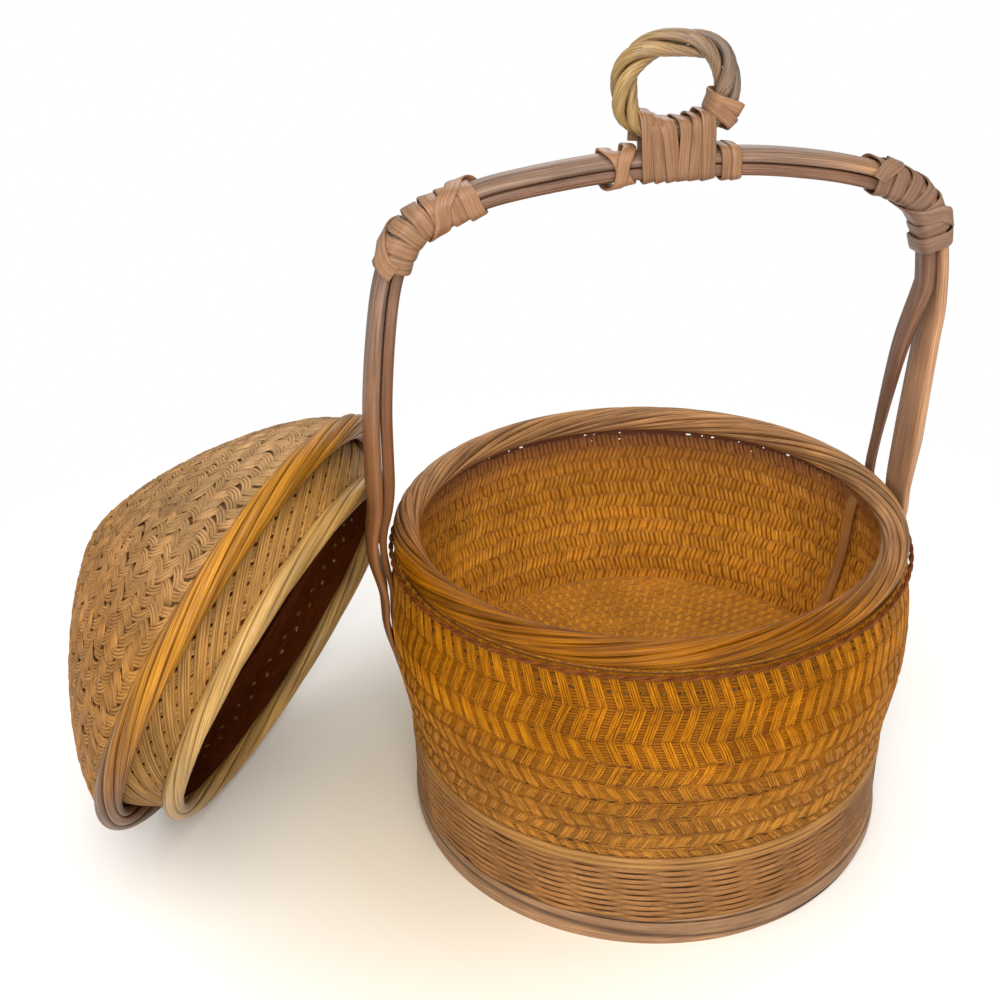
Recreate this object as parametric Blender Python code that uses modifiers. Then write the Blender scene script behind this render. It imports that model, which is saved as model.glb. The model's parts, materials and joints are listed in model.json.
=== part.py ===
"""Round wicker basket with a split-cane handle, a hanging ring and a loose domed lid.

The basket stands upright. Its handle lies in the XZ plane. The lid has been taken off and leans
against the basket's -X side, with its mouth towards the basket and its rim on the ground.
Lengths are in metres and +Z is up. Run it in Blender with --python or from the text editor.
"""

import math

import bmesh
import bpy
import numpy as np
from mathutils import Matrix, Vector
from mathutils.bvhtree import BVHTree

# Seats and clearances
SEAT_GAP = 0.0003
POCKET_CLEARANCE = 0.0004
CUT_OVERRUN = 0.004
RING_SEGMENTS = 32
FACET_SHARE = math.cos(math.pi / RING_SEGMENTS)

# Wall and base
WAIST_RADIUS = 0.0978
BELLY_RADIUS = 0.103
SHOULDER_RADIUS = 0.0993
BELLY_HEIGHT = 0.090
WALL_THICKNESS = 0.0024
WALL_LOWER_STEPS = 3
WALL_UPPER_STEPS = 3
WALL_ROW_SHARES = [0.056, 0.146, 0.241, 0.341, 0.446, 0.555, 0.683, 0.836]
ROW_GROOVE_DEPTH = 0.0007
ROW_GROOVE_WIDTH = 0.0018
BASE_THICKNESS = 0.0025

# Foot
FOOT_RADIUS = 0.098
FOOT_HEIGHT = 0.041
FOOT_ROD_DIAMETER = 0.0030
FOOT_ROD_COUNT = 2
RANDING_THICKNESS = 0.0037
RANDING_ROWS = 9
RANDING_GROOVE_DEPTH = 0.0007
STAKE_DIAMETER = 0.0022
STAKE_COUNT = 16
STAKE_SIDES = 6
STAKE_INSET = 0.0004
BORDER_HEIGHT = 0.0107
BORDER_THICKNESS = 0.0054
BORDER_LOBE_DEPTH = 0.0006
BORDER_STRANDS = 4
BORDER_TWISTS = 2
BORDER_SIDES = 16
BORDER_SQUARENESS = 3.2

# Rim
RIM_OUTER_RADIUS = 0.100
RIM_TOP_HEIGHT = 0.134
RIM_CORE_DIAMETER = 0.0040
RIM_ROD_DIAMETER = 0.0031
RIM_ROD_LAPS = 6
RIM_ROD_TWISTS = 3
CORE_SIDES = 5
CORD_DIAMETER = 0.0022
CORD_SIDES = 5
CORD_SINK_SHARE = 0.3
CORD_SHOULDER_STEP = 0.0003

# Handle
HANDLE_HALF_SPAN = 0.104
HANDLE_APEX_HEIGHT = 0.2674
LEG_WIDTH = 0.0185
ARCH_WIDTH = 0.0125
TAIL_TIP_WIDTH = 0.004
OUTER_LEG_THICKNESS = 0.0064
OUTER_RIM_THICKNESS = 0.0046
THINNED_HEIGHT = 0.155
OUTER_ARCH_THICKNESS = 0.0045
OUTER_TIP_THICKNESS = 0.0010
INNER_WIDTH = 0.0125
INNER_THICKNESS = 0.0044
SPLINT_GROOVE = 0.0006
INNER_TIP_THICKNESS = 0.0010
INNER_STRIP_WIDTH = 0.0052
INNER_STRIP_THICKNESS = 0.0018
OUTER_TAIL_END_HEIGHT = 0.061
INNER_TAIL_END_HEIGHT = 0.092
STRIP_LASHING_STEP = 0.0092
STRIP_END_HEIGHT = 0.050
STRIP_PIERCE_HEIGHT = 0.1165
STRIP_RIM_AZIMUTH = math.radians(12.0)
STRIP_END_AZIMUTH = math.radians(19.5)
TAIL_SEAT_DEPTH = 0.0011
BRACE_BOW = 0.0030
BRACE_BOW_HEIGHT = 0.186
LEG_STATION_STEP = 0.0095
FINE_STEPS = 6
LEFT_LEG_SHARES = [(-0.985, 0.560), (-0.968, 0.705), (-0.922, 0.842), (-0.868, 0.908), (-0.790, 0.946)]
ARCH_SHARES = [(-0.640, 0.969), (-0.489, 0.984), (-0.181, 0.999), (0.077, 1.000), (0.314, 0.997)]
RIGHT_LEG_SHARES = [
    (0.507, 0.988), (0.687, 0.974), (0.860, 0.952), (0.952, 0.925), (1.008, 0.873),
    (1.028, 0.786), (1.017, 0.722), (1.003, 0.640), (0.991, 0.567),
]

# Flat cane windings
CANE_WIDTH = 0.0040
CANE_THICKNESS = 0.0009
CANE_LEAST_GAP = 0.0004
CANE_POINTS_PER_TURN = 16
CANE_STANDOFF = 0.0010
BEND_ALLOWANCE = 0.0004
CANE_LAYER_STEP = 0.0015
OUTLINE_SQUARENESS = 3.6
CORNER_TURN_PITCH = 0.0058
CORNER_TURNS = 7
CORNER_RETURN_TURNS = 1.5
LAYER_RISE_TURNS = 0.5
LEFT_LASHING_SHARES = (-0.770, 0.946)
RIGHT_LASHING_SHARES = (0.935, 0.918)
RING_TURN_PITCH = 0.0052
RING_TURNS = 4
RING_LASHING_STANDOFF = 0.0018
RING_LASHING_WIDTH = 0.0036
RING_LASHING_REACH = math.radians(43.0)
RING_LASHING_SQUARENESS = 4.5
TIE_TURNS = 2
TIE_WIDTH = 0.0032
TIE_PITCH = 0.0056
TIE_GAP = 0.0010

# Hanging ring
RING_OUTER_WIDTH = 0.0458
RING_OUTER_HEIGHT = 0.0395
RING_TUBE_RADIUS = 0.0050
RING_STRAND_RADIUS = 0.00210
RING_LAPS = 3
RING_LAY_TURNS = 7
RING_POINTS_PER_LAP = 24
RING_CENTRE_SHIFT = 0.0071
RING_SQUARENESS = 2.4
RING_TIE_ANGLE = math.radians(-28.0)

# Lid
LID_OUTER_RADIUS = 0.0965
LID_RIM_ROPE_RADIUS = 0.0051
LID_RIM_CORE_RADIUS = 0.0019
LID_RIM_LAPS = 4
LID_RIM_TWISTS = 2
LID_HEIGHT = 0.0735
LID_DOME_THICKNESS = 0.0022
LID_DOME_STEPS = 7
LID_DOME_POWER = 1.33
LID_COLLAR_DEPTH = 0.0184
LID_COLLAR_THICKNESS = 0.0018
LID_EDGE_RADIUS = 0.0812
LID_EDGE_ROPE_RADIUS = 0.0041
LID_EDGE_CORE_RADIUS = 0.0015
LID_EDGE_LAPS = 3
LID_EDGE_TWISTS = 2
ROPE_SIDE_SHARE = 0.88
ROPE_FOOT_SHARE = 0.80
ROPE_CROWN_SHARE = 0.35
ROPE_WIDEST_SHARE = 0.60
LID_LEAN_GAP = 0.0003
LID_LEAN_STEPS = 24
LID_LEAN_PLACES = 180
LID_BEARING = math.radians(172.5)
LID_FACING = math.radians(152.1)
LID_TILT = math.radians(26.0)

# Sizes that follow from the ones above
RIM_ROPE_RADIUS = RIM_CORE_DIAMETER / 2 + SEAT_GAP + RIM_ROD_DIAMETER
RIM_CENTRE_RADIUS = RIM_OUTER_RADIUS - RIM_ROPE_RADIUS
RIM_CENTRE_HEIGHT = RIM_TOP_HEIGHT - RIM_ROPE_RADIUS
WALL_BOTTOM = FOOT_HEIGHT + SEAT_GAP
WALL_TOP_INNER_RADIUS = SHOULDER_RADIUS - WALL_THICKNESS
WALL_TOP = RIM_CENTRE_HEIGHT - SEAT_GAP - math.sqrt(
    RIM_ROPE_RADIUS ** 2 - (WALL_TOP_INNER_RADIUS - RIM_CENTRE_RADIUS) ** 2)
CORD_RADIUS = CORD_DIAMETER / 2
CORD_HEIGHT = WALL_TOP - CORD_RADIUS * CORD_SINK_SHARE
CORD_RING_RADIUS = SHOULDER_RADIUS + CORD_SHOULDER_STEP + SEAT_GAP + CORD_RADIUS
LEG_INNER_RADIUS = CORD_RING_RADIUS + CORD_RADIUS + SEAT_GAP
LID_ROPE_CENTRE_RADIUS = LID_OUTER_RADIUS - LID_RIM_ROPE_RADIUS
LID_EDGE_CENTRE_RADIUS = LID_EDGE_RADIUS - LID_EDGE_ROPE_RADIUS
LID_DOME_BASE = LID_RIM_ROPE_RADIUS + SEAT_GAP
RING_HALF_WIDTH = RING_OUTER_WIDTH / 2 - RING_TUBE_RADIUS
RING_HALF_HEIGHT = RING_OUTER_HEIGHT / 2 - RING_TUBE_RADIUS
STRIP_LEAVE_HEIGHT = (RIGHT_LASHING_SHARES[1] * HANDLE_APEX_HEIGHT - CORNER_TURN_PITCH * CORNER_TURNS / 2
                      - STRIP_LASHING_STEP)


def clear_scene():
    """Remove every object that the scene starts with."""
    for scene_object in list(bpy.data.objects):
        bpy.data.objects.remove(scene_object, do_unlink=True)


def new_collection(name):
    """Make a collection and link it to the scene."""
    collection = bpy.data.collections.new(name)
    bpy.context.scene.collection.children.link(collection)
    return collection


def new_material(name, colour, roughness):
    """Make a Principled material of one colour."""
    material = bpy.data.materials.new(name)
    material.use_nodes = True
    shader = material.node_tree.nodes["Principled BSDF"]
    shader.inputs["Base Color"].default_value = (*colour, 1.0)
    shader.inputs["Roughness"].default_value = roughness
    shader.inputs["Metallic"].default_value = 0.0
    return material


def add_object(name, data, collection, material=None, parent=None):
    """Link a new object that holds the data."""
    new = bpy.data.objects.new(name, data)
    collection.objects.link(new)
    if material is not None:
        data.materials.append(material)
    new.parent = parent
    return new


def add_empty(name, collection, location, rotation=(0.0, 0.0, 0.0), parent=None):
    """Link an empty that carries other objects."""
    empty = bpy.data.objects.new(name, None)
    collection.objects.link(empty)
    empty.location = location
    empty.rotation_euler = rotation
    empty.parent = parent
    return empty


def smooth(mesh):
    """Shade a mesh smooth, apart from its sharp corners."""
    mesh.shade_smooth()
    mesh.set_sharp_from_angle(angle=math.radians(40.0))


def turned(name, outline, collection, material, parent):
    """Turn an outline about Z. The outline runs down its outer side first."""
    closed = outline[0][0] > 0.0 and outline[-1][0] > 0.0
    mesh = bpy.data.meshes.new(name)
    count = len(outline)
    edges = [(index, index + 1) for index in range(count - 1)]
    if closed:
        edges.append((count - 1, 0))
    mesh.from_pydata([(radius, 0.0, height) for radius, height in outline], edges, [])
    piece = add_object(name, mesh, collection, material, parent)
    screw = piece.modifiers.new("Turn", "SCREW")
    screw.axis = "Z"
    screw.angle = math.tau
    screw.steps = RING_SEGMENTS
    screw.render_steps = RING_SEGMENTS
    screw.use_merge_vertices = True
    screw.merge_threshold = 0.00001
    screw.use_smooth_shade = True
    return piece


def round_outline(radius, height, tube_radius, sides):
    """Give the section of a hoop, from its top down its outer side."""
    outline = []
    for step in range(sides):
        angle = math.pi / 2 - math.tau * step / sides
        outline.append((radius + tube_radius * math.cos(angle), height + tube_radius * math.sin(angle)))
    return outline


def loft(name, bodies, collection, material, parent, closed=False):
    """Join the sections of each body by faces, and cap the two ends of an open one."""
    mesh = bpy.data.meshes.new(name)
    bm = bmesh.new()
    for sections in bodies:
        rings = [[bm.verts.new(point) for point in section] for section in sections]
        pairs = list(zip(rings, rings[1:]))
        if closed:
            pairs.append((rings[-1], rings[0]))
        sides = len(rings[0])
        for ring, following in pairs:
            for side in range(sides):
                after = (side + 1) % sides
                bm.faces.new((ring[side], ring[after], following[after], following[side]))
        if not closed:
            bm.faces.new(rings[0])
            bm.faces.new(rings[-1])
    bmesh.ops.recalc_face_normals(bm, faces=bm.faces)
    bm.to_mesh(mesh)
    bm.free()
    smooth(mesh)
    return add_object(name, mesh, collection, material, parent)


def wall_outer_radius(height):
    """Give the wall's outer radius at a height."""
    if height <= BELLY_HEIGHT:
        share = max(0.0, (height - WALL_BOTTOM) / (BELLY_HEIGHT - WALL_BOTTOM))
        return WAIST_RADIUS + (BELLY_RADIUS - WAIST_RADIUS) * (1 - math.cos(math.pi * share)) / 2
    share = min(1.0, (height - BELLY_HEIGHT) / (WALL_TOP - BELLY_HEIGHT))
    return SHOULDER_RADIUS + (BELLY_RADIUS - SHOULDER_RADIUS) * math.cos(math.pi / 2 * share)


def cut_pockets(piece, cutters):
    """Cut the handle's pockets out of a piece."""
    for cutter in cutters:
        cut = piece.modifiers.new("Pocket", "BOOLEAN")
        cut.operation = "DIFFERENCE"
        cut.solver = "EXACT"
        cut.object = cutter


def make_wall(collection, material, parent, cutters):
    """Make the woven wall: a turned shell, grooved between the weave's rows, with the handle's pockets."""
    lower = [WALL_BOTTOM + (BELLY_HEIGHT - WALL_BOTTOM) * step / WALL_LOWER_STEPS
             for step in range(WALL_LOWER_STEPS)]
    upper = [BELLY_HEIGHT + (WALL_TOP - BELLY_HEIGHT) * step / WALL_UPPER_STEPS
             for step in range(WALL_UPPER_STEPS + 1)]
    heights = lower + upper
    outer = [(wall_outer_radius(WALL_TOP), WALL_TOP)]
    for share in reversed(WALL_ROW_SHARES):
        height = WALL_BOTTOM + (WALL_TOP - WALL_BOTTOM) * share
        for step, depth in ((0.5, 0.0), (0.0, ROW_GROOVE_DEPTH), (-0.5, 0.0)):
            level = height + ROW_GROOVE_WIDTH * step
            outer.append((wall_outer_radius(level) - depth, level))
    outer.append((wall_outer_radius(WALL_BOTTOM), WALL_BOTTOM))
    inner = [(wall_outer_radius(height) - WALL_THICKNESS, height) for height in heights]
    wall = turned("wall_weave", outer + inner, collection, material, parent)
    cut_pockets(wall, cutters)


def make_base(collection, material, parent):
    """Make the floor disc, which lies on the foot inside the wall's lower edge."""
    radius = WAIST_RADIUS - WALL_THICKNESS - SEAT_GAP
    bottom = WALL_BOTTOM
    top = bottom + BASE_THICKNESS
    turned("base_mat", [(0.0, top), (radius, top), (radius, bottom), (0.0, bottom)],
           collection, material, parent)


def make_foot(collection, cutting, materials, parent):
    """Make the foot: laid border, woven band with the stakes behind it, and the two top rods."""
    rod_radius = FOOT_ROD_DIAMETER / 2
    rod_rise = rod_radius * math.sin(math.pi / 3)
    centre = FOOT_RADIUS - rod_radius
    outer = []
    for index in range(FOOT_ROD_COUNT):
        height = FOOT_HEIGHT - rod_rise * (2 * index + 1)
        outer.append((centre + rod_radius / 2, height + rod_rise))
        outer.append((FOOT_RADIUS, height))
    rods_bottom = FOOT_HEIGHT - rod_rise * 2 * FOOT_ROD_COUNT
    outer.append((centre + rod_radius / 2, rods_bottom))
    inner = [(2 * centre - radius, height) for radius, height in reversed(outer)]
    turned("foot_top_rods", outer + inner, collection, materials["foot_rod"], parent)

    top = rods_bottom - SEAT_GAP
    bottom = BORDER_HEIGHT + SEAT_GAP
    row = (top - bottom) / RANDING_ROWS
    outline = []
    for index in range(RANDING_ROWS):
        outline.append((FOOT_RADIUS - RANDING_GROOVE_DEPTH, top - row * index))
        outline.append((FOOT_RADIUS, top - row * (index + 0.5)))
    inner_radius = FOOT_RADIUS - RANDING_THICKNESS
    outline += [(FOOT_RADIUS - RANDING_GROOVE_DEPTH, bottom), (inner_radius, bottom), (inner_radius, top)]
    randing = turned("foot_randing", outline, collection, materials["foot_weave"], parent)
    stakes = make_stakes(bottom, FOOT_HEIGHT - bottom, cutting, parent)
    join = randing.modifiers.new("Stakes", "BOOLEAN")
    join.operation = "UNION"
    join.solver = "EXACT"
    join.object = stakes
    make_border(collection, materials["border"], parent)


def make_stakes(bottom, height, collection, parent):
    """Make the upright stakes, which run up behind the top rods and are sunk into the woven band."""
    rods_inner = (FOOT_RADIUS - FOOT_ROD_DIAMETER) * FACET_SHARE
    ring_radius = rods_inner - SEAT_GAP - STAKE_DIAMETER / 2
    mesh = bpy.data.meshes.new("foot_stakes")
    bm = bmesh.new()
    for index in range(STAKE_COUNT):
        turn = Matrix.Rotation(math.tau * index / STAKE_COUNT + math.pi / RING_SEGMENTS, 4, "Z")
        place = Matrix.Translation((ring_radius, 0.0, bottom + height / 2))
        bmesh.ops.create_cone(bm, cap_ends=True, segments=STAKE_SIDES, radius1=STAKE_DIAMETER / 2,
                              radius2=STAKE_DIAMETER / 2, depth=height - STAKE_INSET, matrix=turn @ place)
    bm.to_mesh(mesh)
    bm.free()
    stakes = add_object("foot_stakes", mesh, collection, None, parent)
    stakes.hide_render = True
    stakes.display_type = "WIRE"
    return stakes


def squared(value, power):
    """Give a cosine or sine its share on a squared-off outline."""
    return math.copysign(abs(value) ** (2 / power), value)


def ring_sections(outlines):
    """Set a ring of (radius, height) outlines round the Z axis."""
    count = len(outlines)
    sections = []
    for index, outline in enumerate(outlines):
        angle = math.tau * index / count
        sections.append([Vector((radius * math.cos(angle), radius * math.sin(angle), height))
                         for radius, height in outline])
    return sections


def make_border(collection, material, parent):
    """Make the foot's border: laid strands that wind slowly round, with a flat standing face."""
    half_width = BORDER_THICKNESS / 2
    half_height = BORDER_HEIGHT / 2
    centre = FOOT_RADIUS + SEAT_GAP - half_width
    outlines = []
    for index in range(RING_SEGMENTS):
        lay = math.tau * BORDER_TWISTS * index / RING_SEGMENTS
        outline = []
        for side in range(BORDER_SIDES):
            angle = math.pi / 2 - math.tau * side / BORDER_SIDES
            dip = BORDER_LOBE_DEPTH * (1 - math.cos(BORDER_STRANDS * angle + lay)) / 2
            upper_dip = dip if math.sin(angle) > -0.5 else 0.0
            radius = centre + (half_width - upper_dip) * squared(math.cos(angle), BORDER_SQUARENESS)
            height = half_height * (1 + squared(math.sin(angle), BORDER_SQUARENESS))
            outline.append((radius, height if height > half_height / 4 else 0.0))
        outlines.append(outline)
    loft("foot_border", [ring_sections(outlines)], collection, material, parent, closed=True)


def make_rim(collection, materials, parent):
    """Make the rolled rim: core hoop, one long rod laid round it and the cord under it."""
    turned("rim_core_hoop", round_outline(RIM_CENTRE_RADIUS, RIM_CENTRE_HEIGHT, RIM_CORE_DIAMETER / 2,
                                          CORE_SIDES), collection, materials["core"], parent)
    lay_radius = RIM_CORE_DIAMETER / 2 + SEAT_GAP + RIM_ROD_DIAMETER / 2
    count = RIM_ROD_LAPS * RING_SEGMENTS
    points = []
    for index in range(count):
        around = math.tau * RIM_ROD_LAPS * index / count
        lay = math.tau * (RIM_ROD_LAPS * RIM_ROD_TWISTS + 1) * index / count
        radius = RIM_CENTRE_RADIUS + lay_radius * math.cos(lay)
        height = RIM_CENTRE_HEIGHT + lay_radius * math.sin(lay)
        points.append(Vector((radius * math.cos(around), radius * math.sin(around), height)))
    lay_strand("rim_rods", points, RIM_ROD_DIAMETER / 2, RING_SEGMENTS, collection, materials["rim_rod"],
               parent)
    turned("rim_seating_cord", round_outline(CORD_RING_RADIUS, CORD_HEIGHT, CORD_RADIUS, CORD_SIDES),
           collection, materials["cord"], parent)


def least_strand_gap(points, points_per_lap, radius):
    """Give the least gap between a closed strand's points and those of its other laps."""
    places = np.array(points)
    least = math.inf
    for shift in range(points_per_lap // 2, len(places) - points_per_lap // 2 + 1):
        gaps = np.linalg.norm(places - np.roll(places, shift, axis=0), axis=1)
        least = min(least, float(gaps.min()))
    return least - 2 * radius


def lay_strand(name, points, radius, points_per_lap, collection, material, parent):
    """Lay one closed round strand through the points, and print its least gap to itself."""
    curve = bpy.data.curves.new(name, "CURVE")
    curve.dimensions = "3D"
    curve.bevel_depth = radius
    curve.bevel_resolution = 1
    spline = curve.splines.new("POLY")
    spline.points.add(len(points) - 1)
    spline.use_cyclic_u = True
    for point, place in zip(spline.points, points):
        point.co = (*place, 1.0)
    add_object(name, curve, collection, material, parent)
    middles = [(before + after) / 2 for before, after in zip(points, points[1:] + points[:1])]
    at_points = least_strand_gap(points, points_per_lap, radius) * 1000
    between = least_strand_gap(middles, points_per_lap, radius) * 1000
    print(f"{name}: least gap to itself {at_points:.2f} mm at its points, {between:.2f} mm between them")


def catmull_rom(points, step):
    """Sample a smooth curve through the points, about one step apart."""
    knots = [np.array(point, dtype=float) for point in points]
    knots = [2 * knots[0] - knots[1]] + knots + [2 * knots[-1] - knots[-2]]
    samples = []
    for before, start, end, after in zip(knots, knots[1:], knots[2:], knots[3:]):
        count = max(1, round(float(np.linalg.norm(end - start)) / step))
        for index in range(count):
            t = index / count
            samples.append(0.5 * (2 * start + (end - before) * t
                                  + (2 * before - 5 * start + 4 * end - after) * t ** 2
                                  + (3 * start - before - 3 * end + after) * t ** 3))
    samples.append(knots[-2])
    return [Vector(sample) for sample in samples]


def lerp_clamped(value, low, high, at_low, at_high):
    """Blend between two sizes as a value goes from low to high."""
    share = min(1.0, max(0.0, (value - low) / (high - low)))
    return at_low + (at_high - at_low) * share


def outer_size(height):
    """Give the outer splint's width and thickness at a height."""
    rim_bottom = RIM_TOP_HEIGHT - 2 * RIM_ROPE_RADIUS
    if height < rim_bottom:
        low, high = OUTER_TAIL_END_HEIGHT, rim_bottom
        return (lerp_clamped(height, low, high, TAIL_TIP_WIDTH, LEG_WIDTH),
                lerp_clamped(height, low, high, OUTER_TIP_THICKNESS, OUTER_RIM_THICKNESS))
    if height < THINNED_HEIGHT:
        return (LEG_WIDTH, lerp_clamped(height, RIM_TOP_HEIGHT, THINNED_HEIGHT, OUTER_RIM_THICKNESS,
                                        OUTER_LEG_THICKNESS))
    return (lerp_clamped(height, THINNED_HEIGHT, HANDLE_APEX_HEIGHT, LEG_WIDTH, ARCH_WIDTH),
            lerp_clamped(height, THINNED_HEIGHT, HANDLE_APEX_HEIGHT,
                         OUTER_LEG_THICKNESS, OUTER_ARCH_THICKNESS))


def inner_thickness(height):
    """Give the inner splint's thickness on the left leg and the arch."""
    return lerp_clamped(height, INNER_TAIL_END_HEIGHT, THINNED_HEIGHT, INNER_TIP_THICKNESS, INNER_THICKNESS)


def interface_points():
    """Give the line between the two splints, from the left tail's tip to the right one's."""
    rim_bottom = RIM_TOP_HEIGHT - 2 * RIM_ROPE_RADIUS
    tail_heights = [OUTER_TAIL_END_HEIGHT,
                    (OUTER_TAIL_END_HEIGHT + INNER_TAIL_END_HEIGHT) / 2,
                    INNER_TAIL_END_HEIGHT,
                    (INNER_TAIL_END_HEIGHT + WALL_TOP) / 2]
    left = []
    for height in tail_heights:
        under = inner_thickness(height) + SPLINT_GROOVE if height >= INNER_TAIL_END_HEIGHT else 0.0
        left.append((-(wall_outer_radius(height) - TAIL_SEAT_DEPTH + under), 0.0, height))
    left_rim = LEG_INNER_RADIUS + inner_thickness(rim_bottom) + SPLINT_GROOVE / 2
    left += [(-left_rim, 0.0, rim_bottom), (-left_rim, 0.0, RIM_TOP_HEIGHT)]
    right_rim = LEG_INNER_RADIUS - SPLINT_GROOVE / 2
    right = [(right_rim, 0.0, RIM_TOP_HEIGHT), (right_rim, 0.0, rim_bottom)]
    for height in reversed(tail_heights):
        right.append((wall_outer_radius(height) - TAIL_SEAT_DEPTH, 0.0, height))
    shares = LEFT_LEG_SHARES + ARCH_SHARES + RIGHT_LEG_SHARES
    upper = [(x_share * HANDLE_HALF_SPAN, 0.0, z_share * HANDLE_APEX_HEIGHT) for x_share, z_share in shares]
    return left + upper + right


class HandleLine:
    """The line between the handle's two splints, as even stations with outward normals."""

    def __init__(self, step):
        fine = catmull_rom(interface_points(), step / FINE_STEPS)
        gaps = [(after - before).length for before, after in zip(fine, fine[1:])]
        arc = np.concatenate([[0.0], np.cumsum(gaps)])
        count = round(float(arc[-1]) / step)
        self.length = float(arc[-1])
        self.step = self.length / count
        self.places = []
        for index in range(count + 1):
            distance = self.step * index
            self.places.append(Vector([float(np.interp(distance, arc, [point[axis] for point in fine]))
                                       for axis in range(3)]))
        self.normals = []
        for index in range(count + 1):
            tangent = self.places[min(index + 1, count)] - self.places[max(index - 1, 0)]
            self.normals.append(Vector((-tangent.z, 0.0, tangent.x)).normalized())

    def at(self, distance):
        """Give the place and the outward normal at a distance along the line."""
        index = min(max(int(distance / self.step), 0), len(self.places) - 2)
        share = distance / self.step - index
        return (self.places[index].lerp(self.places[index + 1], share),
                self.normals[index].lerp(self.normals[index + 1], share).normalized())

    def nearest(self, place):
        """Give the number of the station nearest a place."""
        return int(np.argmin([(point - place).length for point in self.places]))

    def distance_to(self, place):
        """Give the distance along the line to the point nearest a place."""
        index = min(max(self.nearest(place), 1), len(self.places) - 2)
        tangent = (self.places[index + 1] - self.places[index - 1]).normalized()
        return self.step * index + (place - self.places[index]).dot(tangent)


def outer_section(place, normal, height, grow):
    """Give the outer splint's section: flat inner face, crowned skin."""
    width, thickness = outer_size(height)
    half = width / 2 + grow
    low = SPLINT_GROOVE / 2 - grow
    high = SPLINT_GROOVE / 2 + thickness + grow
    side = Vector((0.0, 1.0, 0.0))
    shape = [(-1.0, 0.0), (1.0, 0.0), (1.0, 0.45), (0.62, 0.86), (0.0, 1.0), (-0.62, 0.86), (-1.0, 0.45)]
    return [place + side * (half * across) + normal * (low + (high - low) * up) for across, up in shape]


def flat_section(place, side, normal, half_width, half_thickness):
    """Give a flat strip's section with its four edges eased."""
    shape = [(-1.0, 1.0), (-1.0, -0.4), (-0.7, -1.0), (0.7, -1.0), (1.0, -0.4), (1.0, 1.0)]
    return [place + side * (half_width * across) + normal * (half_thickness * up) for across, up in shape]


def outer_sections(line, first, last, grow):
    """Give the outer splint's sections from one station to another."""
    return [outer_section(line.places[index], line.normals[index], line.places[index].z, grow)
            for index in range(first, last + 1)]


def inner_frames(line):
    """Give the inner splint's frames: place, side, normal, width and thickness at each station."""
    side = Vector((0.0, 1.0, 0.0))
    frames = []
    first = line.nearest(Vector((-BELLY_RADIUS, 0.0, INNER_TAIL_END_HEIGHT)))
    leave = line.nearest(Vector((HANDLE_HALF_SPAN, 0.0, STRIP_LEAVE_HEIGHT)))
    for place, normal in zip(line.places[first:leave + 1], line.normals[first:leave + 1]):
        on_left = place.x < 0.0 and place.z < THINNED_HEIGHT
        thickness = inner_thickness(place.z) if on_left else INNER_THICKNESS
        middle = place - normal * (SPLINT_GROOVE / 2 + thickness / 2)
        width = lerp_clamped(place.z, INNER_TAIL_END_HEIGHT, HANDLE_APEX_HEIGHT, INNER_STRIP_WIDTH,
                             INNER_WIDTH)
        frames.append((middle, side, normal, width, thickness))
    return frames + strip_frames(frames[-1])


def strip_frames(start):
    """Give the frames of the strip that leaves the right leg, pierces the wall and runs down inside."""
    rim_bottom = RIM_TOP_HEIGHT - 2 * RIM_ROPE_RADIUS
    half = INNER_STRIP_THICKNESS / 2
    outside = LEG_INNER_RADIUS + half
    inside_top = STRIP_PIERCE_HEIGHT - (rim_bottom - STRIP_PIERCE_HEIGHT)
    heights = [RIM_TOP_HEIGHT, rim_bottom, STRIP_PIERCE_HEIGHT, inside_top,
               (inside_top + STRIP_END_HEIGHT) / 2, STRIP_END_HEIGHT]
    lower = []
    for height in heights:
        azimuth = lerp_clamped(height, STRIP_END_HEIGHT, rim_bottom, STRIP_END_AZIMUTH, STRIP_RIM_AZIMUTH)
        wall_inner = (wall_outer_radius(height) - WALL_THICKNESS) * FACET_SHARE
        radius = outside if height >= rim_bottom else wall_inner - SEAT_GAP - half
        if height == STRIP_PIERCE_HEIGHT:
            radius = wall_outer_radius(height) - WALL_THICKNESS / 2
        lower.append(Vector((radius * math.cos(azimuth), radius * math.sin(azimuth), height)))
    top = start[0]
    share = (top.z - BRACE_BOW_HEIGHT) / (top.z - RIM_TOP_HEIGHT)
    bowed = top.lerp(lower[0], share) - Vector((BRACE_BOW, 0.0, 0.0))
    places = catmull_rom([top, bowed] + lower, LEG_STATION_STEP)
    top_width, top_thickness = start[3], start[4]
    frames = []
    for index, place in enumerate(places[1:], start=1):
        tangent = (places[min(index + 1, len(places) - 1)] - places[index - 1]).normalized()
        outward = Vector((place.x, place.y, 0.0)).normalized()
        side = outward.cross(tangent).normalized()
        width = lerp_clamped(place.z, BRACE_BOW_HEIGHT, top.z, INNER_STRIP_WIDTH, top_width)
        thickness = lerp_clamped(place.z, BRACE_BOW_HEIGHT, top.z, INNER_STRIP_THICKNESS, top_thickness)
        frames.append((place, side, tangent.cross(side).normalized(), width, thickness))
    return frames


def frame_sections(frames, grow):
    """Give the flat sections on a row of frames."""
    return [flat_section(place, side, normal, width / 2 + grow, thickness / 2 + grow)
            for place, side, normal, width, thickness in frames]


def lengthened(sections, length):
    """Push a cutter's two end sections out along its own line."""
    first = (sections[0][0] - sections[1][0]).normalized() * length
    last = (sections[-1][0] - sections[-2][0]).normalized() * length
    return [[point + first for point in sections[0]]] + sections + [[point + last for point in sections[-1]]]


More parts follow.
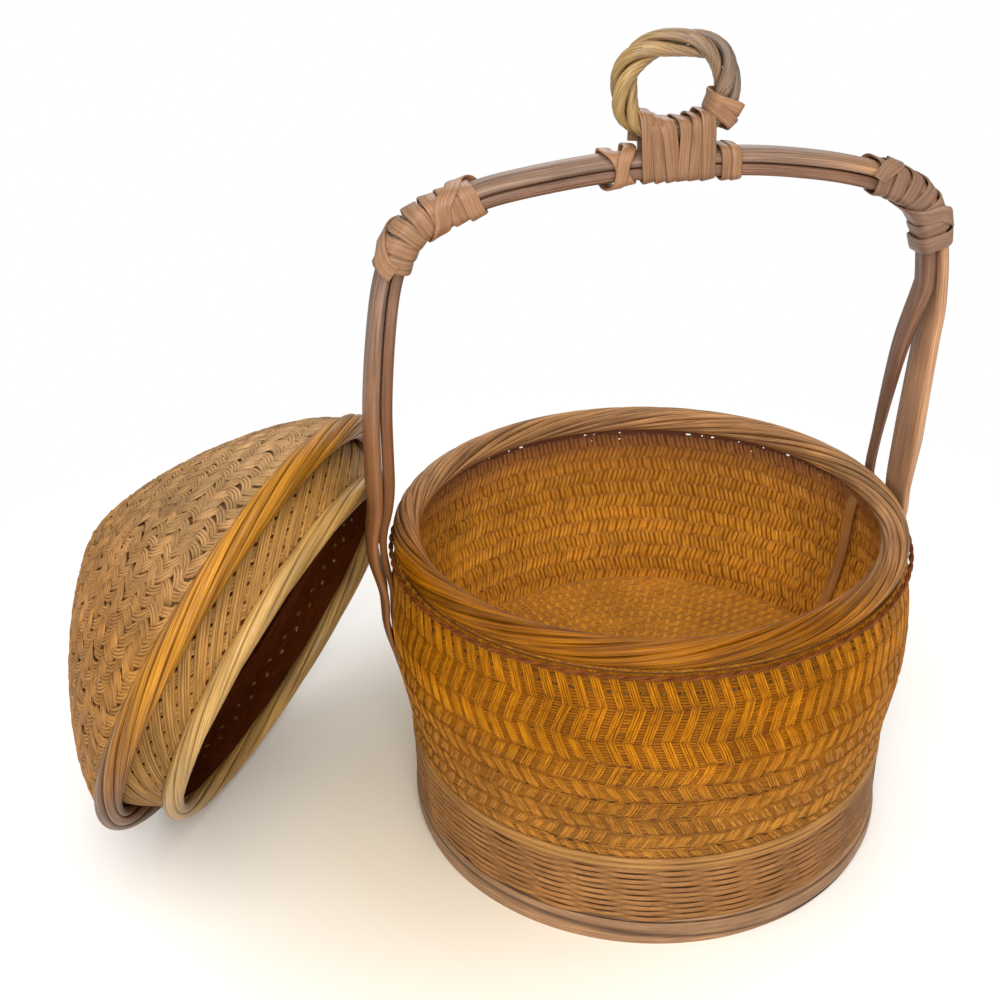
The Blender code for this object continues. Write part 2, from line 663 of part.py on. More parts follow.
def make_cutters(line, frames, collection):
    """Make the cutters of the four pockets that the handle's tails lie in."""
    left_rim = line.nearest(Vector((-RIM_OUTER_RADIUS, 0.0, RIM_TOP_HEIGHT)))
    right_rim = line.nearest(Vector((RIM_OUTER_RADIUS, 0.0, RIM_TOP_HEIGHT)))
    low = [frame for frame in frames if frame[0].z < RIM_TOP_HEIGHT + CUT_OVERRUN]
    low_left = [frame for frame in low if frame[0].x < 0.0]
    low_right = [frame for frame in low if frame[0].x > 0.0]
    shapes = {
        "left_outer_pocket": outer_sections(line, 0, left_rim, POCKET_CLEARANCE),
        "right_outer_pocket": outer_sections(line, right_rim, len(line.places) - 1, POCKET_CLEARANCE),
        "left_inner_pocket": frame_sections(low_left, POCKET_CLEARANCE),
        "right_strip_pocket": frame_sections(low_right, POCKET_CLEARANCE),
    }
    cutters = []
    for name, sections in shapes.items():
        cutter = loft(name, [lengthened(sections, POCKET_CLEARANCE)], collection, None, None)
        cutter.hide_render = True
        cutter.display_type = "WIRE"
        cutters.append(cutter)
    return cutters


def wind_cane(name, outline, advance, collection, material, parent, squareness=OUTLINE_SQUARENESS,
              standoff=CANE_STANDOFF, width=CANE_WIDTH):
    """Wind one flat cane round an outline. The advance gives (turns, distance, layer) knots."""
    turns = advance[-1][0]
    count = round(turns * CANE_POINTS_PER_TURN)
    knots = np.array(advance, dtype=float)
    places = []
    normals = []
    for index in range(count + 1):
        turn = turns * index / count
        angle = math.tau * turn
        distance = float(np.interp(turn, knots[:, 0], knots[:, 1]))
        rise = standoff + CANE_LAYER_STEP * float(np.interp(turn, knots[:, 0], knots[:, 2]))
        place, normal, half_width, low, high = outline(distance)
        side = Vector((0.0, 1.0, 0.0))
        half_height = (high - low) / 2 + rise
        middle = place + normal * ((high + low) / 2)
        places.append(middle + side * ((half_width + rise) * squared(math.cos(angle), squareness))
                      + normal * (half_height * squared(math.sin(angle), squareness)))
        outward = side * (math.cos(angle) / (half_width + rise)) + normal * (math.sin(angle) / half_height)
        normals.append(outward.normalized())
    sections = []
    half_cane, half_thickness = width / 2, CANE_THICKNESS / 2
    for index, place in enumerate(places):
        tangent = (places[min(index + 1, count)] - places[max(index - 1, 0)]).normalized()
        across = normals[index].cross(tangent).normalized()
        square_normal = tangent.cross(across).normalized()
        sections.append([place + across * (half_cane * wide) + square_normal * (half_thickness * up)
                         for wide, up in ((-1, -1), (1, -1), (1, 1), (-1, 1))])
    loft(name, [sections], collection, material, parent)
    print(f"{name}: least gap to itself {least_cane_gap(sections) * 1000:.2f} mm, wanted over "
          f"{CANE_LEAST_GAP * 1000:.1f} mm")


def least_cane_gap(sections):
    """Give the least gap between a flat cane's sections and those half a turn on or more."""
    faces = np.array([[section[0] * (1 - share) + section[1] * share for share in (0.0, 0.5, 1.0)]
                      + [section[3] * (1 - share) + section[2] * share for share in (0.0, 0.5, 1.0)]
                      for section in sections])
    least = math.inf
    for index in range(len(faces) - CANE_POINTS_PER_TURN // 2):
        later = faces[index + CANE_POINTS_PER_TURN // 2:].reshape(-1, 3)
        gaps = np.linalg.norm(later[:, None, :] - faces[index][None, :, :], axis=2)
        least = min(least, float(gaps.min()))
    return least


def arch_outline(line):
    """Give a function for the outline of both splints along the handle."""
    def outline(distance):
        place, normal = line.at(distance)
        width, thickness = outer_size(place.z)
        low = -SPLINT_GROOVE / 2 - INNER_THICKNESS - BEND_ALLOWANCE
        return place, normal, width / 2, low, SPLINT_GROOVE / 2 + thickness
    return outline


def ring_centre(line):
    """Give the hanging ring's centre, which stands it on the arch's crown, and its distance along."""
    apex = line.distance_to(Vector((RING_CENTRE_SHIFT, 0.0, HANDLE_APEX_HEIGHT)))
    place, _ = line.at(apex)
    _, thickness = outer_size(place.z)
    crown = place.z + SPLINT_GROOVE / 2 + thickness
    return Vector((place.x, 0.0, crown + SEAT_GAP + RING_OUTER_HEIGHT / 2)), apex


def ring_line(centre, angle):
    """Give the middle line of the ring's tube: a round ring a little squared off."""
    return centre + Vector((RING_HALF_WIDTH * squared(math.cos(angle), RING_SQUARENESS), 0.0,
                            RING_HALF_HEIGHT * squared(math.sin(angle), RING_SQUARENESS)))


def make_ring(line, collection, material, parent):
    """Lay one strand three times round into the hanging ring, and measure its least gap."""
    centre, _ = ring_centre(line)
    lay_radius = RING_TUBE_RADIUS - RING_STRAND_RADIUS
    count = RING_LAPS * RING_POINTS_PER_LAP
    points = []
    for index in range(count):
        around = math.tau * RING_LAPS * index / count
        lay = math.tau * RING_LAY_TURNS * index / count
        middle = ring_line(centre, around)
        outward = Vector((math.cos(around), 0.0, math.sin(around)))
        points.append(middle + outward * (lay_radius * math.cos(lay))
                      + Vector((0.0, lay_radius * math.sin(lay), 0.0)))
    lay_strand("hanging_ring", points, RING_STRAND_RADIUS, RING_POINTS_PER_LAP, collection, material,
               parent)


def ring_frame(centre, angle):
    """Give a point of the ring's middle line and the direction away from the ring's centre."""
    place = ring_line(centre, angle)
    ahead = ring_line(centre, angle + math.radians(1.0))
    tangent = (ahead - place).normalized()
    return place, Vector((tangent.z, 0.0, -tangent.x))


def ring_foot_outline(line, centre, apex, half):
    """Give the outline of both splints and the ring's foot, leaning with the ring's curve."""
    def outline(distance):
        place, _ = line.at(distance)
        width, _ = outer_size(place.z)
        turn = RING_LASHING_REACH * (distance - apex) / half
        middle, outward = ring_frame(centre, turn - math.pi / 2)
        inner_face = middle - outward * RING_TUBE_RADIUS
        normal = (inner_face - place).normalized()
        low = -SPLINT_GROOVE / 2 - INNER_THICKNESS
        return place, normal, width / 2, low, (inner_face - place).length
    return outline


def ring_tube_outline(centre):
    """Give the outline of the ring's tube, for a tie wound round it."""
    def outline(distance):
        place, outward = ring_frame(centre, RING_TIE_ANGLE + distance / RING_HALF_WIDTH)
        return place, outward, RING_TUBE_RADIUS, -RING_TUBE_RADIUS, RING_TUBE_RADIUS
    return outline


def make_windings(line, collection, material, parent):
    """Wind the corner lashings, the ring's lashing and its ties."""
    outline = arch_outline(line)
    half = CORNER_TURN_PITCH * CORNER_TURNS / 2
    for name, (x_share, z_share) in (("lashing_left", LEFT_LASHING_SHARES),
                                     ("lashing_right", RIGHT_LASHING_SHARES)):
        corner = Vector((x_share * HANDLE_HALF_SPAN, 0.0, z_share * HANDLE_APEX_HEIGHT))
        middle = line.distance_to(corner)
        rise_start = CORNER_TURNS - LAYER_RISE_TURNS
        rise_place = middle + half - CORNER_TURN_PITCH * LAYER_RISE_TURNS
        advance = [(0.0, middle - half, 0.0), (rise_start, rise_place, 0.0),
                   (CORNER_TURNS, middle + half, 1.0),
                   (CORNER_TURNS + CORNER_RETURN_TURNS, middle - half, 1.0)]
        wind_cane(name, outline, advance, collection, material, parent)
    centre, apex = ring_centre(line)
    half = RING_TURN_PITCH * RING_TURNS / 2
    wind_cane("ring_lashing", ring_foot_outline(line, centre, apex, half),
              [(0.0, apex - half, 0.0), (RING_TURNS, apex + half, 0.0)], collection, material, parent,
              RING_LASHING_SQUARENESS, RING_LASHING_STANDOFF, RING_LASHING_WIDTH)
    tie_length = TIE_PITCH * TIE_TURNS
    tie_offset = half + CANE_WIDTH + TIE_GAP
    for name, start in (("ring_tie_left", apex - tie_offset - tie_length),
                        ("ring_tie_base", apex + tie_offset)):
        wind_cane(name, outline, [(0.0, start, 0.0), (TIE_TURNS, start + tie_length, 0.0)], collection,
                  material, parent)
    wind_cane("ring_tie_right", ring_tube_outline(centre), [(0.0, 0.0, 0.0), (TIE_TURNS, tie_length, 0.0)],
              collection, material, parent, width=TIE_WIDTH)


def rope_strand(name, radius, height, rope_radius, core_radius, laps, twists, collection, material,
                parent):
    """Lay one broad strand in several laps round a core, as a rolled rim, and measure its least gap."""
    half_angle = math.pi / laps * ROPE_SIDE_SHARE
    inner = (core_radius + SEAT_GAP) / math.cos(half_angle * ROPE_FOOT_SHARE)
    middle = inner + (rope_radius - inner) * ROPE_WIDEST_SHARE
    shape = [(inner, -ROPE_FOOT_SHARE), (middle, -1.0), (rope_radius, -ROPE_CROWN_SHARE),
             (rope_radius, ROPE_CROWN_SHARE), (middle, 1.0), (inner, ROPE_FOOT_SHARE)]
    sections = []
    for index in range(laps * RING_SEGMENTS):
        around = math.tau * index / RING_SEGMENTS
        lay = math.tau * (laps * twists + 1) * index / (laps * RING_SEGMENTS)
        section = []
        for reach, turn in shape:
            angle = lay + half_angle * turn
            from_axis = radius + reach * math.cos(angle)
            section.append(Vector((from_axis * math.cos(around), from_axis * math.sin(around),
                                   height + reach * math.sin(angle))))
        sections.append(section)
    loft(name, [sections], collection, material, parent, closed=True)
    edge_gaps = []
    places = np.array(sections)
    for shift in range(RING_SEGMENTS // 2, len(sections) - RING_SEGMENTS // 2 + 1):
        others = np.roll(places, shift, axis=0)
        edge_gaps.append(np.linalg.norm(places[:, :, None, :] - others[:, None, :, :], axis=3).min())
    print(f"{name}: least gap to itself {min(edge_gaps) * 1000:.2f} mm")


def dome_profile():
    """Give the dome's outer profile from its top to its base, as (radius, height)."""
    base_radius = LID_ROPE_CENTRE_RADIUS + SEAT_GAP
    rise = LID_HEIGHT - LID_DOME_BASE
    profile = []
    for step in range(LID_DOME_STEPS + 1):
        angle = math.pi / 2 * (1 - step / LID_DOME_STEPS)
        radius = base_radius * math.cos(angle) ** (2 / LID_DOME_POWER)
        height = LID_DOME_BASE + rise * math.sin(angle) ** (2 / LID_DOME_POWER)
        profile.append((radius, height))
    profile[0] = (0.0, LID_HEIGHT)
    return profile


def make_lid(collection, materials, parent):
    """Make the lid in its own frame: the rim's middle plane at zero and the dome upwards."""
    outer = dome_profile()
    slope_share = (outer[0][1] - LID_DOME_THICKNESS - LID_DOME_BASE) / (outer[0][1] - LID_DOME_BASE)
    inner = []
    for radius, height in reversed(outer):
        inner_radius = radius * (1 - LID_DOME_THICKNESS / outer[-1][0])
        inner.append((inner_radius, LID_DOME_BASE + (height - LID_DOME_BASE) * slope_share))
    inner[-1] = (0.0, inner[-1][1])
    turned("lid_dome", outer + inner, collection, materials["dome"], parent)
    turned("lid_rim_core", round_outline(LID_ROPE_CENTRE_RADIUS, 0.0, LID_RIM_CORE_RADIUS, CORE_SIDES),
           collection, materials["core"], parent)
    rope_strand("lid_rim_strands", LID_ROPE_CENTRE_RADIUS, 0.0, LID_RIM_ROPE_RADIUS, LID_RIM_CORE_RADIUS,
                LID_RIM_LAPS, LID_RIM_TWISTS, collection, materials["lid_strand"], parent)

    collar_top = LID_DOME_BASE - SEAT_GAP
    top_radius = (LID_ROPE_CENTRE_RADIUS - LID_RIM_ROPE_RADIUS) * FACET_SHARE - SEAT_GAP
    bottom_radius = LID_EDGE_CENTRE_RADIUS + LID_COLLAR_THICKNESS / 2
    bottom = LID_EDGE_ROPE_RADIUS + SEAT_GAP - LID_COLLAR_DEPTH
    outline = [(top_radius, collar_top), (top_radius, 0.0), (bottom_radius, bottom),
               (bottom_radius - LID_COLLAR_THICKNESS, bottom), (top_radius - LID_COLLAR_THICKNESS, 0.0),
               (top_radius - LID_COLLAR_THICKNESS, collar_top)]
    turned("lid_collar", outline, collection, materials["collar"], parent)
    turned("lid_edge_core", round_outline(LID_EDGE_CENTRE_RADIUS, -LID_COLLAR_DEPTH, LID_EDGE_CORE_RADIUS,
                                          CORE_SIDES), collection, materials["core"], parent)
    rope_strand("lid_edge_strands", LID_EDGE_CENTRE_RADIUS, -LID_COLLAR_DEPTH, LID_EDGE_ROPE_RADIUS,
                LID_EDGE_CORE_RADIUS, LID_EDGE_LAPS, LID_EDGE_TWISTS, collection, materials["edge_strand"],
                parent)


def lid_tip_limit():
    """Give the angle through which the lid tips back before its dome meets the ground."""
    angles = []
    for radius, height in dome_profile():
        slope = math.atan2(LID_ROPE_CENTRE_RADIUS - radius, height)
        distance = math.hypot(LID_ROPE_CENTRE_RADIUS - radius, height)
        angles.append(slope + math.asin(LID_RIM_ROPE_RADIUS / distance))
    return LID_TILT + min(angles)


def lean_distance(line):
    """Give the distance from the basket's axis at which the lid leans on the handle's left leg."""
    last = line.nearest(Vector((-HANDLE_HALF_SPAN, 0.0, HANDLE_APEX_HEIGHT)))
    sections = outer_sections(line, 0, last, 0.0)
    sides = len(sections[0])
    corners = [point for section in sections for point in section]
    faces = []
    for index in range(len(sections) - 1):
        for side in range(sides):
            after = (side + 1) % sides
            faces.append((index * sides + side, index * sides + after,
                          (index + 1) * sides + after, (index + 1) * sides + side))
    leg = BVHTree.FromPolygons(corners, faces)
    axis = Vector((math.cos(LID_FACING) * math.cos(LID_TILT), math.sin(LID_FACING) * math.cos(LID_TILT),
                   math.sin(LID_TILT)))
    across = Vector((-math.sin(LID_FACING), math.cos(LID_FACING), 0.0))
    upward = axis.cross(across)
    places = []
    for radius, height, tube_radius in ((LID_ROPE_CENTRE_RADIUS, 0.0, LID_RIM_ROPE_RADIUS),
                                        (LID_EDGE_CENTRE_RADIUS, -LID_COLLAR_DEPTH, LID_EDGE_ROPE_RADIUS)):
        for index in range(LID_LEAN_PLACES):
            angle = math.tau * index / LID_LEAN_PLACES
            offset = (across * math.cos(angle) + upward * math.sin(angle)) * radius + axis * height
            places.append((offset, tube_radius))
    distance = RIM_OUTER_RADIUS + LID_OUTER_RADIUS
    for _ in range(LID_LEAN_STEPS):
        centre = lid_centre(distance)
        gaps = [leg.find_nearest(centre + offset)[3] - tube_radius for offset, tube_radius in places]
        distance -= min(gaps) - LID_LEAN_GAP
    return distance


def lid_centre(distance):
    """Give the middle of the lid's rim as it leans, at a distance from the basket's axis."""
    rise = LID_RIM_ROPE_RADIUS + LID_ROPE_CENTRE_RADIUS * math.cos(LID_TILT)
    return Vector((distance * math.cos(LID_BEARING), distance * math.sin(LID_BEARING), rise))


def place_on_ground(basket, lid_hinge):
    """Move both carriers so that the middle of the whole model's footprint is the origin."""
    bpy.context.view_layer.update()
    depsgraph = bpy.context.evaluated_depsgraph_get()
    corners = []
    for piece in bpy.data.objects:
        if piece.type in {"MESH", "CURVE"} and not piece.hide_render:
            evaluated = piece.evaluated_get(depsgraph)
            mesh = evaluated.to_mesh()
            corners += [piece.matrix_world @ vertex.co for vertex in mesh.vertices]
            evaluated.to_mesh_clear()
    low = np.min(corners, axis=0)
    high = np.max(corners, axis=0)
    shift = Vector((-(low[0] + high[0]) / 2, -(low[1] + high[1]) / 2, -low[2]))
    for carrier in (basket, lid_hinge):
        carrier.location += shift
    bpy.context.view_layer.update()
    print(f"size {[round(float(value), 5) for value in high - low]}")
    print(f"basket axis at {[round(value, 6) for value in basket.location]}")
    print(f"lid hinge at {[round(value, 6) for value in lid_hinge.location]}")
    print(f"lid tips back through {math.degrees(lid_tip_limit()):.1f} degrees at most")


def main():
    """Build the basket and its lid."""
    clear_scene()
    parts = new_collection("lidded_wicker_basket")
    cutting = new_collection("cutters")
    materials = {
        "weave": new_material("amber_twill_weave", (0.42, 0.20, 0.045), 0.55),
        "base": new_material("golden_floor_weave", (0.48, 0.25, 0.06), 0.6),
        "core": new_material("hidden_hoop_cane", (0.30, 0.16, 0.06), 0.6),
        "rim_rod": new_material("brown_rim_rod", (0.30, 0.15, 0.05), 0.4),
        "cord": new_material("brown_twined_cord", (0.26, 0.12, 0.04), 0.5),
        "foot_rod": new_material("smooth_foot_rod", (0.30, 0.15, 0.05), 0.4),
        "foot_weave": new_material("foot_randing_cane", (0.30, 0.15, 0.05), 0.55),
        "border": new_material("grey_brown_border_cane", (0.20, 0.11, 0.05), 0.5),
        "splint": new_material("varnished_splint", (0.27, 0.13, 0.06), 0.4),
        "inner_splint": new_material("red_brown_splint", (0.24, 0.10, 0.05), 0.45),
        "cane": new_material("tan_binding_cane", (0.36, 0.18, 0.08), 0.45),
        "ring": new_material("golden_ring_cane", (0.38, 0.20, 0.08), 0.4),
        "dome": new_material("tan_dome_weave", (0.42, 0.23, 0.09), 0.55),
        "lid_strand": new_material("orange_lid_rim_cane", (0.36, 0.15, 0.04), 0.3),
        "collar": new_material("pale_collar_weave", (0.46, 0.28, 0.12), 0.55),
        "edge_strand": new_material("olive_collar_edge_cane", (0.44, 0.29, 0.11), 0.4),
    }
    basket = add_empty("basket_frame", parts, (0.0, 0.0, 0.0))

    line = HandleLine(LEG_STATION_STEP)
    lid_rise = LID_ROPE_CENTRE_RADIUS * math.cos(LID_TILT)
    facing = Vector((math.cos(LID_FACING), math.sin(LID_FACING), 0.0))
    lean = LID_ROPE_CENTRE_RADIUS * math.sin(LID_TILT)
    below_centre = lid_centre(lean_distance(line)) - Vector((0.0, 0.0, lid_rise))
    hinge = add_empty("lid_hinge_line", parts, below_centre + facing * lean, (0.0, 0.0, LID_FACING))
    lid_frame = add_empty("lid_frame", parts, (-lean, 0.0, lid_rise),
                          (0.0, math.pi / 2 - LID_TILT, 0.0), hinge)

    frames = inner_frames(line)
    cutters = make_cutters(line, frames, cutting)
    for cutter in cutters:
        cutter.parent = basket
    make_wall(parts, materials["weave"], basket, cutters)
    make_base(parts, materials["base"], basket)
    make_foot(parts, cutting, materials, basket)
    make_rim(parts, materials, basket)
    loft("handle_outer_splint", [outer_sections(line, 0, len(line.places) - 1, 0.0)], parts,
         materials["splint"], basket)
    loft("handle_inner_splint", [frame_sections(frames, 0.0)], parts, materials["inner_splint"], basket)
    make_ring(line, parts, materials["ring"], basket)
    make_windings(line, parts, materials["cane"], basket)
    make_lid(parts, materials, lid_frame)
    place_on_ground(basket, hinge)


main()
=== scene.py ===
"""Finished look of a round wicker basket with a hoop handle, a hanging ring and a loose domed lid.

Every visible piece is built here in code, strand by strand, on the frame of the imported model.
Lengths are written in millimetres and turned into metres by mm().
"""

import json
import logging
import math
from dataclasses import dataclass
from enum import Enum
from typing import Dict, List, Optional, Sequence, Tuple

import bmesh
import bpy
import numpy as np
from mathutils import Matrix, Vector

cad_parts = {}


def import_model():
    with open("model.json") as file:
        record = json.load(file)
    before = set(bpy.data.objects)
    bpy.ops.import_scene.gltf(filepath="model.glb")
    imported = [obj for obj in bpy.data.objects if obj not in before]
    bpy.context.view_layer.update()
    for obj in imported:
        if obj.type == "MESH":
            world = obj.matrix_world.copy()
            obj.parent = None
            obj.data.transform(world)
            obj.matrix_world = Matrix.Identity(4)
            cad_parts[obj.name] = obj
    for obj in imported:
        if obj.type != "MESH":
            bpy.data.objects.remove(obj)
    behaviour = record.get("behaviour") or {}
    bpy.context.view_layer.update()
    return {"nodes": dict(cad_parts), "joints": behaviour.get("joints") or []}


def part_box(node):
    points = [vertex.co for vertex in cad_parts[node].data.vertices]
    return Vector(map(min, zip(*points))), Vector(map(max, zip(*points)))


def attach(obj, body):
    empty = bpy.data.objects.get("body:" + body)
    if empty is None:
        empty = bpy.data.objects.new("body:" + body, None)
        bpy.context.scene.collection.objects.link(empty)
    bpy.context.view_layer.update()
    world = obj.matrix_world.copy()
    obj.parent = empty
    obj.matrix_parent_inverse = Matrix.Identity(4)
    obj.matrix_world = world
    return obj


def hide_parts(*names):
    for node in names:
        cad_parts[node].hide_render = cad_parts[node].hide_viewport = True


LOG = logging.getLogger("basket")
SEED = 11
KEPT_HOOPS = ("lid_rim_core", "lid_edge_core")


def mm(value: float) -> float:
    """Turn millimetres into metres.

    Args:
        value: A length in millimetres.

    Returns:
        The same length in metres.
    """
    return value * 0.001


def colour(code: str) -> Tuple[float, float, float, float]:
    """Turn a hex sRGB colour into the linear values that a shader takes.

    Args:
        code: Six hex digits, such as "C68A25".

    Returns:
        Red, green, blue and alpha.
    """
    channels = [int(code[index:index + 2], 16) / 255 for index in (0, 2, 4)]
    linear = [value / 12.92 if value <= 0.04045 else ((value + 0.055) / 1.055) ** 2.4 for value in channels]
    return (linear[0], linear[1], linear[2], 1.0)


def circle(sides: int) -> Tuple[Tuple[float, float], ...]:
    """Give a round section, clockwise from its left.

    Args:
        sides: How many corners it has.

    Returns:
        The corners as (across, up) shares.
    """
    return tuple((math.cos(math.pi - math.tau * side / sides), math.sin(math.pi - math.tau * side / sides))
                 for side in range(sides))


class Section(Enum):
    """Sections of a strand, as (across, up) shares of its half width and half thickness."""

    ROUND = circle(10)
    SMALL_ROUND = circle(6)
    TINY_ROUND = circle(4)
    ARCH = ((-1.0, -1.0), (-0.55, 0.75), (0.55, 0.75), (1.0, -1.0))
    FLAT = ((-1.0, -0.4), (-1.0, 0.4), (-0.82, 0.95), (0.0, 1.0), (0.82, 0.95), (1.0, 0.4), (1.0, -0.4),
            (0.82, -1.0), (-0.82, -1.0))

    @property
    def tube(self) -> bool:
        """Say whether the section closes on itself."""
        return self is not Section.ARCH


def unit(vectors: np.ndarray) -> np.ndarray:
    """Scale vectors to length one.

    Args:
        vectors: An array whose last axis is x, y, z.

    Returns:
        The unit vectors.
    """
    return vectors / np.maximum(np.linalg.norm(vectors, axis=-1, keepdims=True), 1e-12)


def tangents(points: np.ndarray, loop: bool) -> np.ndarray:
    """Give the directions along rows of points.

    Args:
        points: An array of shape (rows, points, 3).
        loop: Whether each row closes on itself.

    Returns:
        Unit directions of the same shape.
    """
    if loop:
        return unit(np.roll(points, -1, axis=1) - np.roll(points, 1, axis=1))
    return unit(np.gradient(points, axis=1))


@dataclass
class Strands:
    """Rows of points that strands run along.

    Attributes:
        points: Middle lines, of shape (strands, points, 3), in metres.
        normals: The way each strand's skin faces, of the same shape.
        half_width: Half of the width, one value or one for each point.
        half_thickness: Half of the thickness, in the same form.
        loop: Whether each strand closes on itself.
        tone: Shade of each strand between 0 and 1, one for each point or each strand.
        depth: How open to the light each point is, from 0 to 1, which paints shade; on the splints, the share of their
            own colour against the amber.
    """

    points: np.ndarray
    normals: np.ndarray
    half_width: object
    half_thickness: object
    loop: bool = False
    tone: Optional[np.ndarray] = None
    depth: Optional[np.ndarray] = None

    def grid(self, section: Section) -> np.ndarray:
        """Give the corners of every section.

        Args:
            section: The section's form.

        Returns:
            An array of shape (strands, points, corners, 3).
        """
        along = tangents(self.points, self.loop)
        across = unit(np.cross(along, self.normals))
        up = np.cross(across, along)
        size = self.points.shape[:2]
        width = np.broadcast_to(np.asarray(self.half_width, dtype=float), size)[:, :, None, None]
        thickness = np.broadcast_to(np.asarray(self.half_thickness, dtype=float), size)[:, :, None, None]
        corners = np.array(section.value)
        return (self.points[:, :, None, :]
                + across[:, :, None, :] * width * corners[None, None, :, 0:1]
                + up[:, :, None, :] * thickness * corners[None, None, :, 1:2])


class TurnedSurface:
    """A surface turned about an upright axis, measured along its profile."""

    def __init__(self, profile: Sequence[Tuple[float, float]], flip: bool = False) -> None:
        """Measure the profile.

        Args:
            profile: Closely spaced (radius, height) points in metres, top first.
            flip: Whether the skin faces the axis.
        """
        points = np.array(profile, dtype=float)
        steps = np.linalg.norm(np.diff(points, axis=0), axis=1)
        self.arc = np.concatenate([[0.0], np.cumsum(steps)])
        self.length = float(self.arc[-1])
        self.points = points
        along = np.gradient(points, axis=0)
        along /= np.linalg.norm(along, axis=1, keepdims=True)
        self.skin = np.stack([-along[:, 1], along[:, 0]], axis=1) * (-1.0 if flip else 1.0)

    def radius(self, arc: np.ndarray) -> np.ndarray:
        """Give the radius at distances along the profile."""
        return np.interp(arc, self.arc, self.points[:, 0])

    def place(self, angle: np.ndarray, arc: np.ndarray, lift: np.ndarray) -> Tuple[np.ndarray, np.ndarray]:
        """Give places on the surface.

        Args:
            angle: Angles about the axis.
            arc: Distances along the profile.
            lift: Distances off the skin.

        Returns:
            The places and the skin's directions there.
        """
        angle, arc, lift = np.broadcast_arrays(angle, arc, lift)
        radius = np.interp(arc, self.arc, self.points[:, 0])
        height = np.interp(arc, self.arc, self.points[:, 1])
        out = np.interp(arc, self.arc, self.skin[:, 0])
        up = np.interp(arc, self.arc, self.skin[:, 1])
        cosine, sine = np.cos(angle), np.sin(angle)
        normals = unit(np.stack([out * cosine, out * sine, up], axis=-1))
        places = np.stack([radius * cosine, radius * sine, height], axis=-1)
        return places + normals * lift[..., None], normals


class Graph:
    """A short way to wire a material's nodes."""

    def __init__(self, name: str) -> None:
        """Start a material that holds one Principled shader.

        Args:
            name: The material's name.
        """
        self.material = bpy.data.materials.new(name)
        self.material.use_nodes = True
        self.tree = self.material.node_tree
        self.shader = self.tree.nodes["Principled BSDF"]

    def add(self, kind: str, inputs: Optional[Dict[object, object]] = None, **settings: object) -> bpy.types.Node:
        """Add a node.

        Args:
            kind: The node's type.
            inputs: A value or a socket for each named or numbered input.
            settings: Properties of the node.

        Returns:
            The new node.
        """
        node = self.tree.nodes.new(kind)
        for key, value in settings.items():
            setattr(node, key, value)
        for key, value in (inputs or {}).items():
            self.feed(node.inputs[key], value)
        return node

    def feed(self, socket: bpy.types.NodeSocket, value: object) -> None:
        """Link a socket to an input, or set the input's value."""
        if isinstance(value, bpy.types.NodeSocket):
            self.tree.links.new(value, socket)
        else:
            socket.default_value = value

    def mix(self, factor: object, first: object, second: object, blend: str = "MIX") -> bpy.types.NodeSocket:
        """Mix two colours and give the result's socket."""
        node = self.add("ShaderNodeMix", {0: factor, 6: first, 7: second}, data_type="RGBA", blend_type=blend)
        return node.outputs[2]

    def remap(self, value: object, low: float, high: float, to_low: float, to_high: float) -> bpy.types.NodeSocket:
        """Map a value from one range to another and give the result's socket."""
        node = self.add("ShaderNodeMapRange", {0: value, 1: low, 2: high, 3: to_low, 4: to_high})
        return node.outputs[0]


